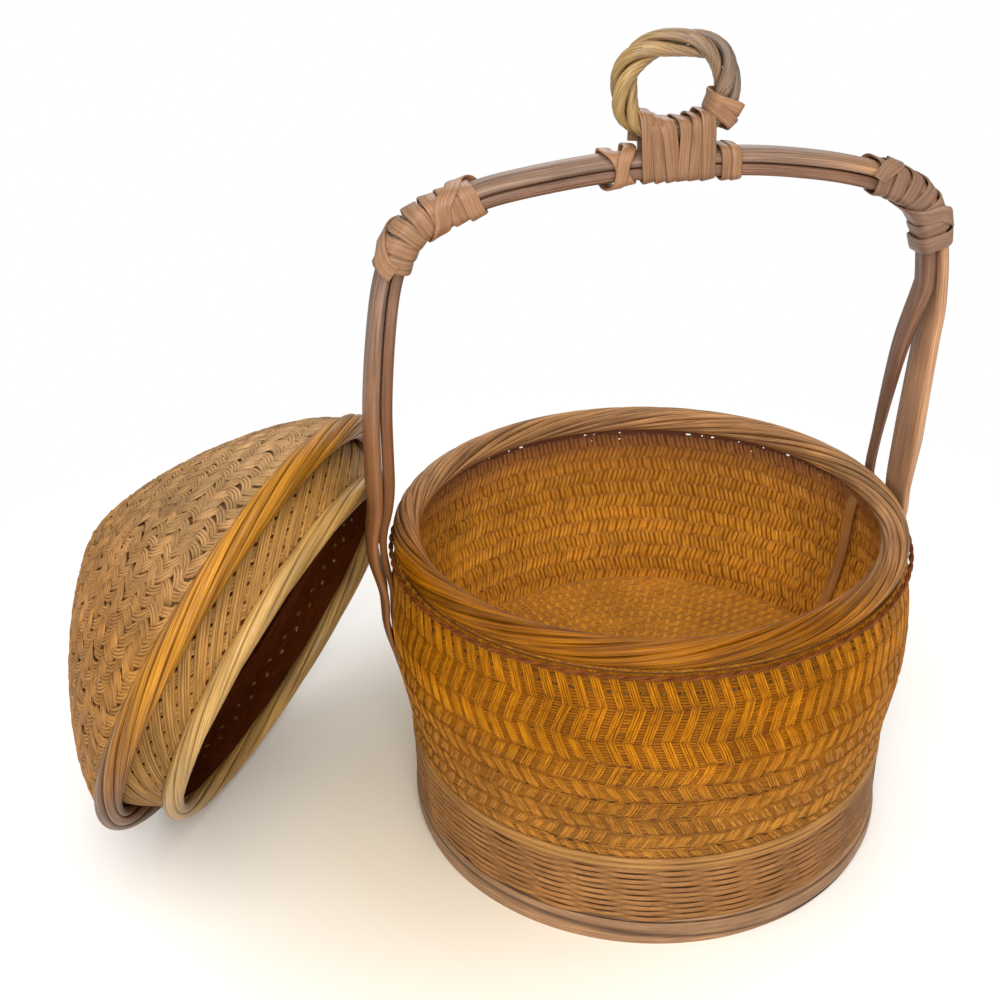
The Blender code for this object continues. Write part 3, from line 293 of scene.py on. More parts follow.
@dataclass(frozen=True)
class CaneLook:
    """What one kind of cane looks like.

    Attributes:
        slot: The record's material slot; not used.
        light: Hex colour of the light fibres.
        dark: Hex colour of the dark fibres.
        shadow: Hex colour of the painted shade deep between strands; on the splints, the amber that the left leg turns
            to lower down.
        fibre: Width of a fibre in millimetres.
        length: Length over which a fibre keeps its shade, in millimetres.
        relief: Height of the fibres in millimetres.
        roughness: Roughness of the clear finish.
        coat: Weight of the clear coat.
        lighting_light: Light fibres' colour in a zone of painted light and shade, if the cane has one, where one side
            or height of the piece is drawn in other colours, as the light falls there.
        lighting_dark: Dark fibres' colour there.
        lighting_side: Which way that zone faces, as x and y, and the reach from the axis in millimetres over
            which the colour changes.
        lighting_heights: Heights in millimetres between which the zone's colour sets in.
        contrast: How far the strands' shades lie apart.
    """

    slot: str
    light: str
    dark: str
    shadow: str = "2A1608"
    fibre: float = 0.30
    length: float = 9.0
    relief: float = 0.10
    roughness: float = 0.45
    coat: float = 0.25
    # Painted light and shade: colours for a zone where the light falls differently on the piece.
    lighting_light: Optional[str] = None
    lighting_dark: Optional[str] = None
    lighting_side: Tuple[float, float, float, float] = (0.0, -1.0, 0.0, 100.0)
    lighting_heights: Tuple[float, float] = (48.0, 92.0)
    contrast: float = 0.18

    def build(self, name: str, axis: Vector) -> bpy.types.Material:
        """Make the material.

        Args:
            name: The material's name.
            axis: Where the basket's axis stands.

        Returns:
            The finished material.
        """
        graph = Graph(name)
        uv = graph.add("ShaderNodeUVMap", uv_map="along")
        tone = graph.add("ShaderNodeAttribute", attribute_name="tone").outputs["Fac"]
        depth = graph.add("ShaderNodeAttribute", attribute_name="depth").outputs["Fac"]
        steps = graph.add("ShaderNodeMath", {0: tone, 1: 24.0}, operation="MULTIPLY").outputs[0]
        shift = graph.add("ShaderNodeMath", {0: steps, 1: 5.3}, operation="SNAP").outputs[0]
        offset = graph.add("ShaderNodeCombineXYZ", {2: shift}).outputs[0]
        stretched = graph.add("ShaderNodeMapping", {0: uv.outputs[0],
                                                    3: (1 / mm(self.fibre), 1 / mm(self.length), 1.0)})
        vector = graph.add("ShaderNodeVectorMath", {0: stretched.outputs[0], 1: offset}).outputs[0]
        fibres = graph.add("ShaderNodeTexNoise", {"Vector": vector, "Scale": 1.0, "Detail": 3.0,
                                                  "Roughness": 0.62}).outputs[0]
        place = graph.add("ShaderNodeTexCoord").outputs["Object"]
        stain = graph.add("ShaderNodeTexNoise", {"Vector": place, "Scale": 42.0, "Detail": 3.0}).outputs[0]
        fine = graph.add("ShaderNodeTexNoise", {"Vector": place, "Scale": 900.0, "Detail": 2.0}).outputs[0]
        share = graph.remap(fibres, 0.36, 0.62, 0.0, 1.0)
        base = graph.mix(share, colour(self.dark), colour(self.light))
        # Painted light and shade: the lighting zone's colours take over on its side and height.
        if self.lighting_light and self.lighting_dark:
            lit_colour = graph.mix(share, colour(self.lighting_dark), colour(self.lighting_light))
            base = graph.mix(self.lighting_share(graph, place, axis), base, lit_colour)
        strength = graph.add("ShaderNodeMath", {0: graph.remap(tone, 0.0, 1.0, 0.98 - self.contrast, 0.98 + self.contrast),
                                                1: graph.remap(stain, 0.35, 0.68, 0.86, 1.12)},
                             operation="MULTIPLY").outputs[0]
        grey = graph.add("ShaderNodeCombineColor", {0: strength, 1: strength, 2: strength}).outputs[0]
        toned = graph.mix(1.0, base, grey, "MULTIPLY")
        # Painted shade: where depth is low, the shadow colour takes over.
        shown = graph.mix(depth, colour(self.shadow), toned)
        graph.feed(graph.shader.inputs["Base Color"], shown)
        rough = graph.remap(fibres, 0.3, 0.7, self.roughness + 0.12, self.roughness - 0.06)
        graph.feed(graph.shader.inputs["Roughness"], rough)
        graph.feed(graph.shader.inputs["Coat Weight"], self.coat)
        graph.feed(graph.shader.inputs["Coat Roughness"], 0.28)
        graph.feed(graph.shader.inputs["Specular IOR Level"], 0.08 + self.coat)
        height = graph.add("ShaderNodeMath", {0: fine, 1: 0.25, 2: fibres}, operation="MULTIPLY_ADD").outputs[0]
        bump = graph.add("ShaderNodeBump", {"Strength": 0.9, "Distance": mm(self.relief), "Height": height})
        graph.feed(graph.shader.inputs["Normal"], bump.outputs[0])
        return graph.material

    def lighting_share(self, graph: Graph, place: bpy.types.NodeSocket, axis: Vector) -> bpy.types.NodeSocket:
        """Give how far a point lies in the zone of painted light and shade, towards its side and up through its
        heights, from 0 to 1.

        Args:
            graph: The material's nodes.
            place: The socket with the point's place.
            axis: Where the basket's axis stands.

        Returns:
            A socket with the share.
        """
        x, y, near, far = self.lighting_side
        offset = -(axis.x * x + axis.y * y)
        reach = graph.add("ShaderNodeVectorMath", {0: place, 1: (x, y, 0.0)}, operation="DOT_PRODUCT")
        moved = graph.add("ShaderNodeMath", {0: reach.outputs["Value"], 1: offset}, operation="ADD").outputs[0]
        across = graph.remap(moved, mm(near), mm(far), 0.0, 1.0)
        height = graph.add("ShaderNodeSeparateXYZ", {0: place}).outputs[2]
        low, high = self.lighting_heights
        upper = graph.remap(height, mm(low), mm(high), 0.0, 1.0)
        return graph.add("ShaderNodeMath", {0: across, 1: upper}, operation="MULTIPLY").outputs[0]


class Cane(Enum):
    """The kinds of cane on the basket and its lid."""

    # The wall's and the wefts' lighting zone paints the side towards the camera a deeper, more saturated amber, as
    # painted light.
    WALL = CaneLook("amber_twill_weave", "B87C30", "7E501C", "3A1E08", 0.34, 5.0, 0.12, 0.50, 0.0,
                    "B27208", "7C4402", (-0.30, -0.954, -15.0, 62.0))
    WEFT = CaneLook("amber_twill_weave", "9C6826", "6E451A", "361A07", 0.30, 7.0, 0.08, 0.55, 0.0,
                    "9A5E02", "6E3B02", (-0.30, -0.954, -15.0, 62.0))
    # Its shadow colour paints the shade seen in the gaps of the wall; the rim core, foot stakes and kept hoops show its
    # own colours.
    BACKING = CaneLook("amber_twill_weave", "9A6620", "6E4416", "351B07", 0.60, 6.0, 0.10, 0.75, 0.0)
    # The inside's lighting zone paints the left part of the inside wall and the floor's left edge darker and more
    # saturated, as painted shade.
    INNER = CaneLook("golden_floor_weave", "DE9E38", "A86818", "70463A", 0.34, 4.0, 0.10, 0.55, 0.0,
                     "C4891C", "945A0A", (-1.0, 0.0, 62.0, 96.0), (-10.0, -5.0))
    INNER_BACKING = CaneLook("golden_floor_weave", "A66410", "8A5008", "664032", 0.80, 5.0, 0.20, 0.65, 0.0)
    # The rim's lighting zone paints its front, towards the camera, a deeper amber, as painted light.
    RIM = CaneLook("brown_rim_rod", "AC7F50", "644430", "2A1709", 0.36, 26.0, 0.12, 0.40, 0.03,
                   "905803", "562B01", (-0.45, -0.89, -10.0, 60.0), contrast=0.28)
    CORD = CaneLook("brown_twined_cord", "7C4416", "4C260E", "2A1709", 0.26, 6.0, 0.08, 0.5, 0.0)
    FOOT_ROD = CaneLook("smooth_foot_rod", "A87A40", "7A5228", "3A230F", 0.30, 24.0, 0.08, 0.45, 0.06)
    # The foot's lighting zone paints its right side darker, as painted shade.
    FOOT = CaneLook("foot_randing_cane", "A06F3D", "754E2A", "563A20", 0.28, 16.0, 0.08, 0.48, 0.05,
                    "8C6036", "664326", (1.0, 0.0, 15.0, 85.0), (-10.0, -5.0))
    BORDER = CaneLook("grey_brown_border_cane", "A8805A", "765842", "3C2A20", 0.36, 22.0, 0.10, 0.5, 0.10)
    # On the splints the shadow colour is the amber that the left leg turns to lower down; the lighting zone paints the
    # right leg lighter and more orange, as painted light.
    SPLINT = CaneLook("varnished_splint", "8E705B", "574338", "7C4810", 0.42, 34.0, 0.12, 0.42, 0.15,
                      "BE8E64", "86624C", (1.0, 0.0, 55.0, 95.0))
    INNER_SPLINT = CaneLook("red_brown_splint", "86624C", "573C2E", "74420F", 0.40, 30.0, 0.12, 0.42, 0.15)
    STRIP = CaneLook("red_brown_splint", "C08A50", "8E6034", "2C1A10", 0.40, 30.0, 0.12, 0.50, 0.05)
    # The lighting zone paints the right corner lashing greyer and darker, as painted shade.
    BINDING = CaneLook("tan_binding_cane", "9C7352", "725239", "34200F", 0.32, 18.0, 0.10, 0.42, 0.15,
                       "8A6B57", "654C3C", (1.0, 0.0, 55.0, 95.0))
    # The lighting zone paints the ring's left part golden, as painted light; the grey shadow colour paints the shade on
    # its right.
    RING = CaneLook("golden_ring_cane", "A88767", "64503F", "4C4643", 0.40, 16.0, 0.14, 0.38, 0.20,
                    "A88850", "6E5638", (-1.0, 0.0, -12.0, 10.0))
    # The lighting zone paints the dome's top lighter and greyer, as a painted sheen.
    DOME = CaneLook("tan_dome_weave", "A6763A", "764E22", "3D230E", 0.36, 7.0, 0.10, 0.52, 0.04,
                    "B08F68", "7C6040", (0.0, 0.0, -2.0, -1.0), (125.0, 185.0), 0.24)
    # A near-black copy of the dome's cane: it paints the shade inside the lid and behind the collar.
    DOME_SHADE = CaneLook("tan_dome_weave", "602907", "421B05", "221307", 0.5, 7.0, 0.10, 0.7, 0.0)
    # The lighting zone paints the lid rim's upper part bright orange, as painted light, and leaves its lower part dark,
    # as painted shade.
    LID_RIM = CaneLook("orange_lid_rim_cane", "7C542E", "4A2A14", "2A1607", 0.42, 40.0, 0.10, 0.32, 0.08,
                       "B47C22", "683A0C", (0.0, 0.0, -2.0, -1.0), (55.0, 125.0), 0.30)
    COLLAR = CaneLook("pale_collar_weave", "A87C40", "6E4C22", "3C2610", 0.40, 18.0, 0.10, 0.48, 0.05)
    EDGE = CaneLook("olive_collar_edge_cane", "BC9450", "826236", "46300F", 0.36, 30.0, 0.10, 0.36, 0.20)


@dataclass
class Piece:
    """Where a piece belongs.

    Attributes:
        name: The object's name.
        cane: Its kind of cane.
        body: The body that it rides on.
        stands_for: CAD nodes that it replaces.
        matrix: The move from its own frame to the model's.
    """

    name: str
    cane: Cane
    body: str
    stands_for: Tuple[str, ...]
    matrix: Matrix


class Workshop:
    """Turns strands into finished objects."""

    def __init__(self, axis: Vector) -> None:
        """Keep the basket's axis for the materials.

        Args:
            axis: Where the basket's axis stands.
        """
        self.axis = axis
        self.materials: Dict[Cane, bpy.types.Material] = {}

    def material(self, cane: Cane) -> bpy.types.Material:
        """Give the material of a kind of cane, made once."""
        if cane not in self.materials:
            self.materials[cane] = cane.value.build(cane.name.lower() + "_cane", self.axis)
        return self.materials[cane]

    def strands(self, piece: Piece, strands: Strands, section: Section) -> bpy.types.Object:
        """Make one object from strands.

        Args:
            piece: Where it belongs.
            strands: The strands.
            section: Their section.

        Returns:
            The new object.
        """
        return self.grid(piece, strands.grid(section), strands.loop, section.tube, strands.tone, strands.depth)

    def grid(self, piece: Piece, grid: np.ndarray, loop: bool, tube: bool, tone: Optional[np.ndarray] = None,
             depth: Optional[np.ndarray] = None) -> bpy.types.Object:
        """Make one object from a grid of corners.

        Args:
            piece: Where it belongs.
            grid: Corners of shape (strands, points, corners, 3).
            loop: Whether each strand closes on itself.
            tube: Whether each section closes on itself.
            tone: Shade of each strand or point.
            depth: How open to the light each point is.

        Returns:
            The new object.
        """
        rows, points, corners = grid.shape[:3]
        steps = points if loop else points - 1
        sides = corners if tube else corners - 1
        row, point, side = np.meshgrid(np.arange(rows), np.arange(steps), np.arange(sides), indexing="ij")
        ahead, beside = (point + 1) % points, (side + 1) % corners
        quads = np.stack([(row * points + point) * corners + side, (row * points + point) * corners + beside,
                          (row * points + ahead) * corners + beside, (row * points + ahead) * corners + side],
                         axis=-1).reshape(-1, 4)
        closing = np.concatenate([grid, grid[:, :, :1]], axis=2)
        across = np.linalg.norm(np.diff(closing, axis=2), axis=3).mean(axis=(0, 1))
        across = np.concatenate([[0.0], np.cumsum(across)])
        middle = grid.mean(axis=2)
        middle = np.concatenate([middle, middle[:, :1]], axis=1)
        along = np.linalg.norm(np.diff(middle, axis=1), axis=2)
        along = np.concatenate([np.zeros((rows, 1)), np.cumsum(along, axis=1)], axis=1)
        uv = np.stack([np.stack([across[side], along[row, point]], axis=-1),
                       np.stack([across[side + 1], along[row, point]], axis=-1),
                       np.stack([across[side + 1], along[row, point + 1]], axis=-1),
                       np.stack([across[side], along[row, point + 1]], axis=-1)], axis=-2).reshape(-1, 2)
        faces: List[Sequence[int]] = quads.tolist()
        if tube and not loop:
            for strand in range(rows):
                first = strand * points * corners
                last = first + (points - 1) * corners
                faces.append(list(range(first + corners - 1, first - 1, -1)))
                faces.append(list(range(last, last + corners)))
            uv = np.concatenate([uv, np.zeros((2 * rows * corners, 2))])
        turn = np.array(piece.matrix)
        places = grid.reshape(-1, 3) @ turn[:3, :3].T + turn[:3, 3]
        mesh = bpy.data.meshes.new(piece.name)
        mesh.from_pydata(places.tolist(), [], faces)
        layer = mesh.uv_layers.new(name="along")
        layer.data.foreach_set("uv", uv.astype(np.float32).ravel())
        size = (rows, points, corners)
        for label, values, plain in (("tone", tone, 0.5), ("depth", depth, 1.0)):
            values = np.full((rows, points), plain) if values is None else np.asarray(values, dtype=float)
            if values.ndim == 1:
                values = values[:, None]
            spread = np.broadcast_to(values[:, :, None], size)
            mesh.attributes.new(label, "FLOAT", "POINT").data.foreach_set(
                "value", spread.astype(np.float32).ravel())
        mesh.shade_smooth()
        mesh.set_sharp_from_angle(angle=math.radians(62.0))
        return self.finish(piece, mesh)

    def finish(self, piece: Piece, mesh: bpy.types.Mesh) -> bpy.types.Object:
        """Link a mesh, give it its material and hang it on its body.

        Args:
            piece: Where it belongs.
            mesh: The finished mesh.

        Returns:
            The new object.
        """
        mesh.materials.append(self.material(piece.cane))
        made = bpy.data.objects.new(piece.name, mesh)
        bpy.context.scene.collection.objects.link(made)
        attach(made, piece.body)
        if piece.stands_for:
            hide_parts(*piece.stands_for)
        LOG.info("%s has %d faces", piece.name, len(mesh.polygons))
        return made


def random(*size: int, seed: int = 0) -> np.ndarray:
    """Give repeatable random shares.

    Args:
        size: The array's shape.
        seed: A number that tells the pieces apart.

    Returns:
        Values from 0 to 1.
    """
    return np.random.default_rng(SEED + seed).random(size)


class BasketBody:
    """The basket's wall, floor, rim and foot."""

    WAIST, BELLY, SHOULDER = mm(97.8), mm(103.0), mm(99.3)
    BELLY_HEIGHT, WALL_TOP, WALL_BOTTOM = mm(90.0), mm(123.4), mm(41.3)
    THICKNESS = mm(2.4)
    ROWS = (13.4, 12.6, 10.6, 9.0, 8.6, 8.2, 7.8, 7.4, 4.6)
    BUNDLES = 102
    BUNDLE_STRANDS = 4
    BUNDLE_STEPS = (0.0, 0.07, 0.2, 0.5, 0.8, 0.93)
    LEAN = mm(2.1)
    WEFT_PITCH = mm(1.12)
    STEPS_PER_BUNDLE = 4
    FOOT_RADIUS, FOOT_HEIGHT, BORDER_HEIGHT = mm(98.0), mm(41.0), mm(10.7)
    RIM_RADIUS, RIM_HEIGHT, RIM_ROPE = mm(94.6), mm(128.6), mm(5.4)
    FLOOR_TOP = mm(43.8)

    def __init__(self, shop: Workshop, matrix: Matrix) -> None:
        """Keep the workshop and the basket's place.

        Args:
            shop: The maker of objects.
            matrix: The move from the basket's frame to the model's.
        """
        self.shop = shop
        self.matrix = matrix

    def piece(self, name: str, cane: Cane, *stands_for: str) -> Piece:
        """Describe a piece of the basket's body."""
        return Piece(name, cane, "basket", stands_for, self.matrix)

    def build(self) -> None:
        """Make every piece."""
        self.wall_outside()
        self.wall_wefts()
        self.wall_inside()
        self.floor()
        self.rim()
        self.foot()

    def outer_radius(self, height: float) -> float:
        """Give the wall's outer radius at a height."""
        if height <= self.BELLY_HEIGHT:
            share = (height - self.WALL_BOTTOM) / (self.BELLY_HEIGHT - self.WALL_BOTTOM)
            return self.WAIST + (self.BELLY - self.WAIST) * (1 - math.cos(math.pi * share)) / 2
        share = (height - self.BELLY_HEIGHT) / (self.WALL_TOP - self.BELLY_HEIGHT)
        return self.SHOULDER + (self.BELLY - self.SHOULDER) * math.cos(math.pi / 2 * share)

    def surface(self, inset: float, flip: bool = False) -> TurnedSurface:
        """Give the wall's surface at a depth under its skin."""
        heights = np.linspace(self.WALL_TOP, self.WALL_BOTTOM, 120)
        return TurnedSurface([(self.outer_radius(height) - inset, height) for height in heights], flip)

    def row_bounds(self, length: float) -> np.ndarray:
        """Give the distances from the rim at which the weave's rows meet."""
        bounds = np.concatenate([[0.0], np.cumsum(self.ROWS)])
        return bounds / bounds[-1] * length

    def zigzag(self, arc: np.ndarray, bounds: np.ndarray) -> np.ndarray:
        """Give how far the bundles stand aside at distances down the wall."""
        row = np.clip(np.searchsorted(bounds, arc, side="right") - 1, 0, len(self.ROWS) - 1)
        share = (arc - bounds[row]) / (bounds[row + 1] - bounds[row])
        return self.LEAN * np.where(row % 2 == 0, 1.0, -1.0) * (2 * share - 1)

    def wall_outside(self) -> None:
        """Lay the zigzag bundles that make the rows outside."""
        surface = self.surface(0.0)
        bounds = self.row_bounds(surface.length)
        arc = np.array([bounds[row] + (bounds[row + 1] - bounds[row]) * step
                        for row in range(len(self.ROWS)) for step in self.BUNDLE_STEPS] + [bounds[-1]])
        count, strands = self.BUNDLES, self.BUNDLE_STRANDS
        rows = len(self.ROWS)
        of_point = np.minimum(np.arange(len(arc)) // len(self.BUNDLE_STEPS), rows - 1)
        spread = (np.arange(strands) - (strands - 1) / 2) * mm(0.93)
        jitter = (random(count, rows, seed=1) - 0.5)[:, None, :] * mm(0.7)
        own = (random(count, strands, rows, seed=2) - 0.5) * mm(0.3)
        aside = (spread[None, :, None] + (jitter + own)[:, :, of_point] + self.zigzag(arc, bounds)[None, None, :])
        aside = aside.reshape(count * strands, -1)
        start = np.repeat(np.arange(count), strands)[:, None] * math.tau / count
        angle = start + aside / surface.radius(arc)[None, :]
        gap = np.abs(arc[:, None] - bounds[None, :]).min(axis=1)
        dip = np.exp(-(gap / mm(0.8)) ** 2)
        lower = np.interp(arc / surface.length, (0.3, 0.7), (0.45, 1.0))
        height = mm(0.42) * (random(count * strands, rows, seed=3)[:, of_point] - 0.5)
        lift = mm(-0.30) + height - (dip * lower)[None, :] * mm(0.80)
        shift = (random(count, rows + 1, seed=12) - 0.5) * mm(2.2)
        shift[:, (0, -1)] = 0.0
        nearest = np.abs(arc[:, None] - bounds[None, :]).argmin(axis=1)
        down = np.repeat(shift[:, nearest] * np.exp(-(gap / mm(2.4)) ** 2)[None, :], strands, axis=0)
        places = np.clip(arc[None, :] + down, 0.0, surface.length)
        points, normals = surface.place(angle, places, lift)
        tone = 0.1 + 0.9 * random(count * strands, rows, seed=4)[:, of_point]
        # Painted shade where the bundles dip at the row boundaries, stronger in the lower rows.
        depth = np.broadcast_to(1.0 - 0.55 * (dip * lower)[None, :], tone.shape)
        self.shop.strands(self.piece("wall_bundles", Cane.WALL, "wall_weave"),
                          Strands(points, normals, mm(0.50), mm(0.34), tone=tone, depth=depth), Section.ARCH)

    def wall_wefts(self) -> None:
        """Lay the fine rods that run round the wall under the bundles."""
        surface = self.surface(0.0)
        bounds = self.row_bounds(surface.length)
        levels = np.arange(mm(0.7), surface.length - mm(0.4), self.WEFT_PITCH)
        levels = np.delete(levels, (3, 6))
        fade = np.interp(levels / surface.length, (0.3, 0.65), (0.3, 1.0))[:, None]
        around = self.BUNDLES * self.STEPS_PER_BUNDLE
        angle = np.arange(around)[None, :] * math.tau / around
        arc = np.repeat(levels[:, None], around, axis=1)
        arc += mm(0.10) * (random(len(levels), around, seed=5) - 0.5)
        aside = self.zigzag(arc, bounds) / surface.radius(arc)
        bulge = (1 - np.cos(self.BUNDLES * (angle - aside))) / 2
        gap = np.abs(arc[:, :, None] - bounds[None, None, :]).min(axis=2)
        over = np.exp(-((gap - mm(0.2)) / mm(0.75)) ** 2) * fade
        dark = (random(len(levels), around // 4, seed=13) < 0.5).repeat(4, axis=1)
        groove = np.where(dark, np.exp(-(gap / mm(0.6)) ** 2), 0.0) * bulge * fade
        lift = mm(-0.90) + mm(0.42) * np.maximum(bulge, 1.15 * over) - mm(0.45) * groove
        points, normals = surface.place(angle, arc, lift)
        tone = np.clip(0.2 + 0.6 * random(len(levels), seed=6)[:, None]
                       + 0.35 * random(len(levels), around, seed=7), 0.0, 1.0)
        # Painted shade: the wefts are darker where they run under the bundles and in the grooves at the row boundaries.
        depth = np.clip(0.48 + 0.12 * fade + 0.4 * np.maximum(bulge, over) - 0.85 * groove, 0.0, 1.0)
        half = len(levels) // 2
        for name, rows in (("wall_wefts_upper", slice(0, half)), ("wall_wefts_lower", slice(half, None))):
            strands = Strands(points[rows], normals[rows], mm(0.50), mm(0.42), True, tone[rows], depth[rows])
            self.shop.strands(self.piece(name, Cane.WEFT), strands, Section.TINY_ROUND)

    def wall_inside(self) -> None:
        """Lay the short upright floats that show inside the wall."""
        surface = self.surface(self.THICKNESS, True)
        rows, count = 12, 288
        first = mm(4.6)
        pitch = (surface.length - first) / rows
        shares = np.linspace(-1.0, 1.0, 6)
        row, item = np.meshgrid(np.arange(rows), np.arange(count), indexing="ij")
        row, item = row.ravel(), item.ravel()
        length = pitch * (0.50 + 0.10 * random(len(row), seed=8))
        arc = first + pitch * (row + 0.5)[:, None] + length[:, None] * shares[None, :]
        arc = np.clip(arc + (random(len(row), seed=15)[:, None] - 0.5) * mm(1.4), mm(0.3), surface.length)
        slant = mm(0.8) * np.where(row % 2, 1, -1)[:, None] * shares[None, :]
        aside = slant + (random(len(row), seed=9)[:, None] - 0.5) * mm(0.7)
        angle = ((item + 0.5 * (row % 2)) * math.tau / count)[:, None] + aside / surface.radius(arc)
        wave = 0.5 + 0.5 * random(len(row), seed=16)
        lift = mm(-0.35) + mm(0.50) * wave[:, None] * (1 - np.abs(shares[None, :]) ** 2.4)
        points, normals = surface.place(angle, arc, np.broadcast_to(lift, arc.shape))
        tone = np.clip(0.7 * random(len(row), seed=10) + 0.5 * random(rows, seed=17)[row], 0.0, 1.0)
        fade = np.interp(arc, (mm(4.0), mm(12.0), mm(24.0), mm(42.0)), (0.20, 0.50, 0.84, 1.0))
        depth = fade * (1.0 - 0.35 * np.abs(shares[None, :]) ** 3)
        self.shop.strands(self.piece("wall_inner_floats", Cane.INNER),
                          Strands(points, normals, mm(0.84), mm(0.36), tone=tone, depth=depth), Section.ARCH)

        for name, cane, depth, flip in (("wall_backing", Cane.BACKING, mm(1.20), False),
                                        ("wall_inner_backing", Cane.INNER_BACKING, mm(1.75), True)):
            self.backing(name, cane, self.surface(depth), flip)

    def backing(self, name: str, cane: Cane, middle: TurnedSurface, flip: bool) -> None:
        """Lay a thin layer between the weave's two faces, with pinholes near the rim; it shows in the gaps, and its
        depth paints shade on it, on the outer one below the top rows and on the inner one near the rim.

        Args:
            name: The piece's name.
            cane: Its kind of cane.
            middle: The surface that it lies on.
            flip: Whether it faces the axis.
        """
        around = 612
        slots = [mm(0.2), mm(3.2), mm(4.2), mm(6.8), mm(8.1)]
        arcs = np.concatenate([slots, np.linspace(mm(10.0), middle.length + mm(0.4), 34)])
        angle, arc = np.meshgrid(np.arange(around) * math.tau / around, arcs, indexing="ij")
        points, _ = middle.place(angle, arc, np.zeros_like(arc))
        if flip:
            points = points[:, ::-1]
        made = self.shop.grid(self.piece(name, cane), points[None], True, False)
        steps = len(arcs) - 1
        shade = np.interp(arcs, (mm(8.1), mm(14.0)), (0.1, 1.0) if flip else (0.9, 0.25))
        shade = np.broadcast_to(shade[::-1] if flip else shade, (around, len(arcs)))
        made.data.attributes["depth"].data.foreach_set("value", shade.astype(np.float32).ravel())
        bm = bmesh.new()
        bm.from_mesh(made.data)
        bm.faces.ensure_lookup_table()
        holes = []
        for row, share in ((1, 0.24), (3, 0.30)):
            open_cells = random(around, seed=14 + row) < share
            row = steps - 1 - row if flip else row
            holes += [bm.faces[index * steps + row] for index in np.flatnonzero(open_cells)]
        bmesh.ops.delete(bm, geom=holes, context="FACES_ONLY")
        bm.to_mesh(made.data)
        bm.free()

    def floor(self) -> None:
        """Lay the floor: rings of fine rods with short floats over them."""
        rings = np.arange(mm(2.0), mm(96.0), mm(1.45))
        around = 150
        angle = np.arange(around)[None, :] * math.tau / around
        count_waves = np.round(rings * math.tau / mm(5.9))
        wave = np.cos(angle * count_waves[:, None])
        for name, height, facing, rows in (("floor_rods", self.FLOOR_TOP - mm(0.5), 1.0, "base_mat"),
                                           ("floor_rods_under", self.WALL_BOTTOM + mm(0.7), -1.0, None)):
            lift = height + facing * mm(0.18) * wave
            points = np.stack([rings[:, None] * np.cos(angle), rings[:, None] * np.sin(angle), lift], axis=-1)
            normals = np.zeros_like(points)
            normals[..., 2] = facing
            tone = np.clip(random(len(rings), seed=20)[:, None] * 0.3
                           + random(len(rings), around, seed=21) * 0.2, 0, 1)
            # Painted shade where the rods dip under the floats.
            depth = 0.62 + 0.32 * (wave + 1) / 2
            piece = self.piece(name, Cane.INNER, *([rows] if rows else []))
            self.shop.strands(piece, Strands(points, normals, mm(0.68), mm(0.42), True, tone, depth), Section.ARCH)
        rows = np.arange(mm(6.0), mm(93.0), mm(5.6))
        bundles: List[Tuple[float, float]] = []
        for index, radius in enumerate(rows):
            number = max(6, round(radius * math.tau / mm(4.4)))
            bundles += [(radius, (item + 0.5 * (index % 2)) * math.tau / number) for item in range(number)]
        middle = np.array(bundles)
        shares = np.linspace(-1.0, 1.0, 6)
        reach = middle[:, 0:1] + mm(2.5) * shares[None, :]
        angle = middle[:, 1:2] + mm(0.5) * (random(len(middle), seed=22)[:, None] - 0.5) / reach
        for name, height, facing in (("floor_floats", self.FLOOR_TOP - mm(0.45), 1.0),
                                     ("floor_floats_under", self.WALL_BOTTOM + mm(0.5), -1.0)):
            lift = height + facing * mm(0.55) * (1 - np.abs(shares) ** 2.2)
            points = np.stack([reach * np.cos(angle), reach * np.sin(angle),
                               np.broadcast_to(lift, reach.shape)], axis=-1)
            normals = np.zeros_like(points)
            normals[..., 2] = facing
            tone = 0.5 + 0.5 * random(len(middle), seed=23)
            # Painted shade at the floats' ends.
            depth = np.broadcast_to(1.0 - 0.55 * np.abs(shares[None, :]) ** 3, reach.shape)
            self.shop.strands(self.piece(name, Cane.INNER),
                              Strands(points, normals, mm(0.95), mm(0.36), tone=tone, depth=depth), Section.ARCH)

    def laid_strands(self, radius: float, height: float, reach: float, strands: int, twists: float,
                     steps: int) -> Tuple[np.ndarray, np.ndarray]:
        """Give strands laid round a hoop.

        Args:
            radius: The hoop's radius.
            height: The hoop's height.
            reach: Distance of the strands' middle from the hoop's middle.
            strands: How many strands lie side by side.
            twists: How many times each goes round the hoop.
            steps: Points along each.

        Returns:
            The points and the skin's directions.
        """
        around = np.arange(steps)[None, :] * math.tau / steps
        lay = np.arange(strands)[:, None] * math.tau / strands + around * twists
        wander = 0.10 * np.sin(around * 5 + np.arange(strands)[:, None] * 1.7)
        lay = lay + wander
        out, up = np.cos(lay), np.sin(lay)
        normals = np.stack([out * np.cos(around), out * np.sin(around), up], axis=-1)
        centre = np.stack([radius * np.cos(around), radius * np.sin(around), np.full_like(around, height)], axis=-1)
        return centre + normals * reach, normals

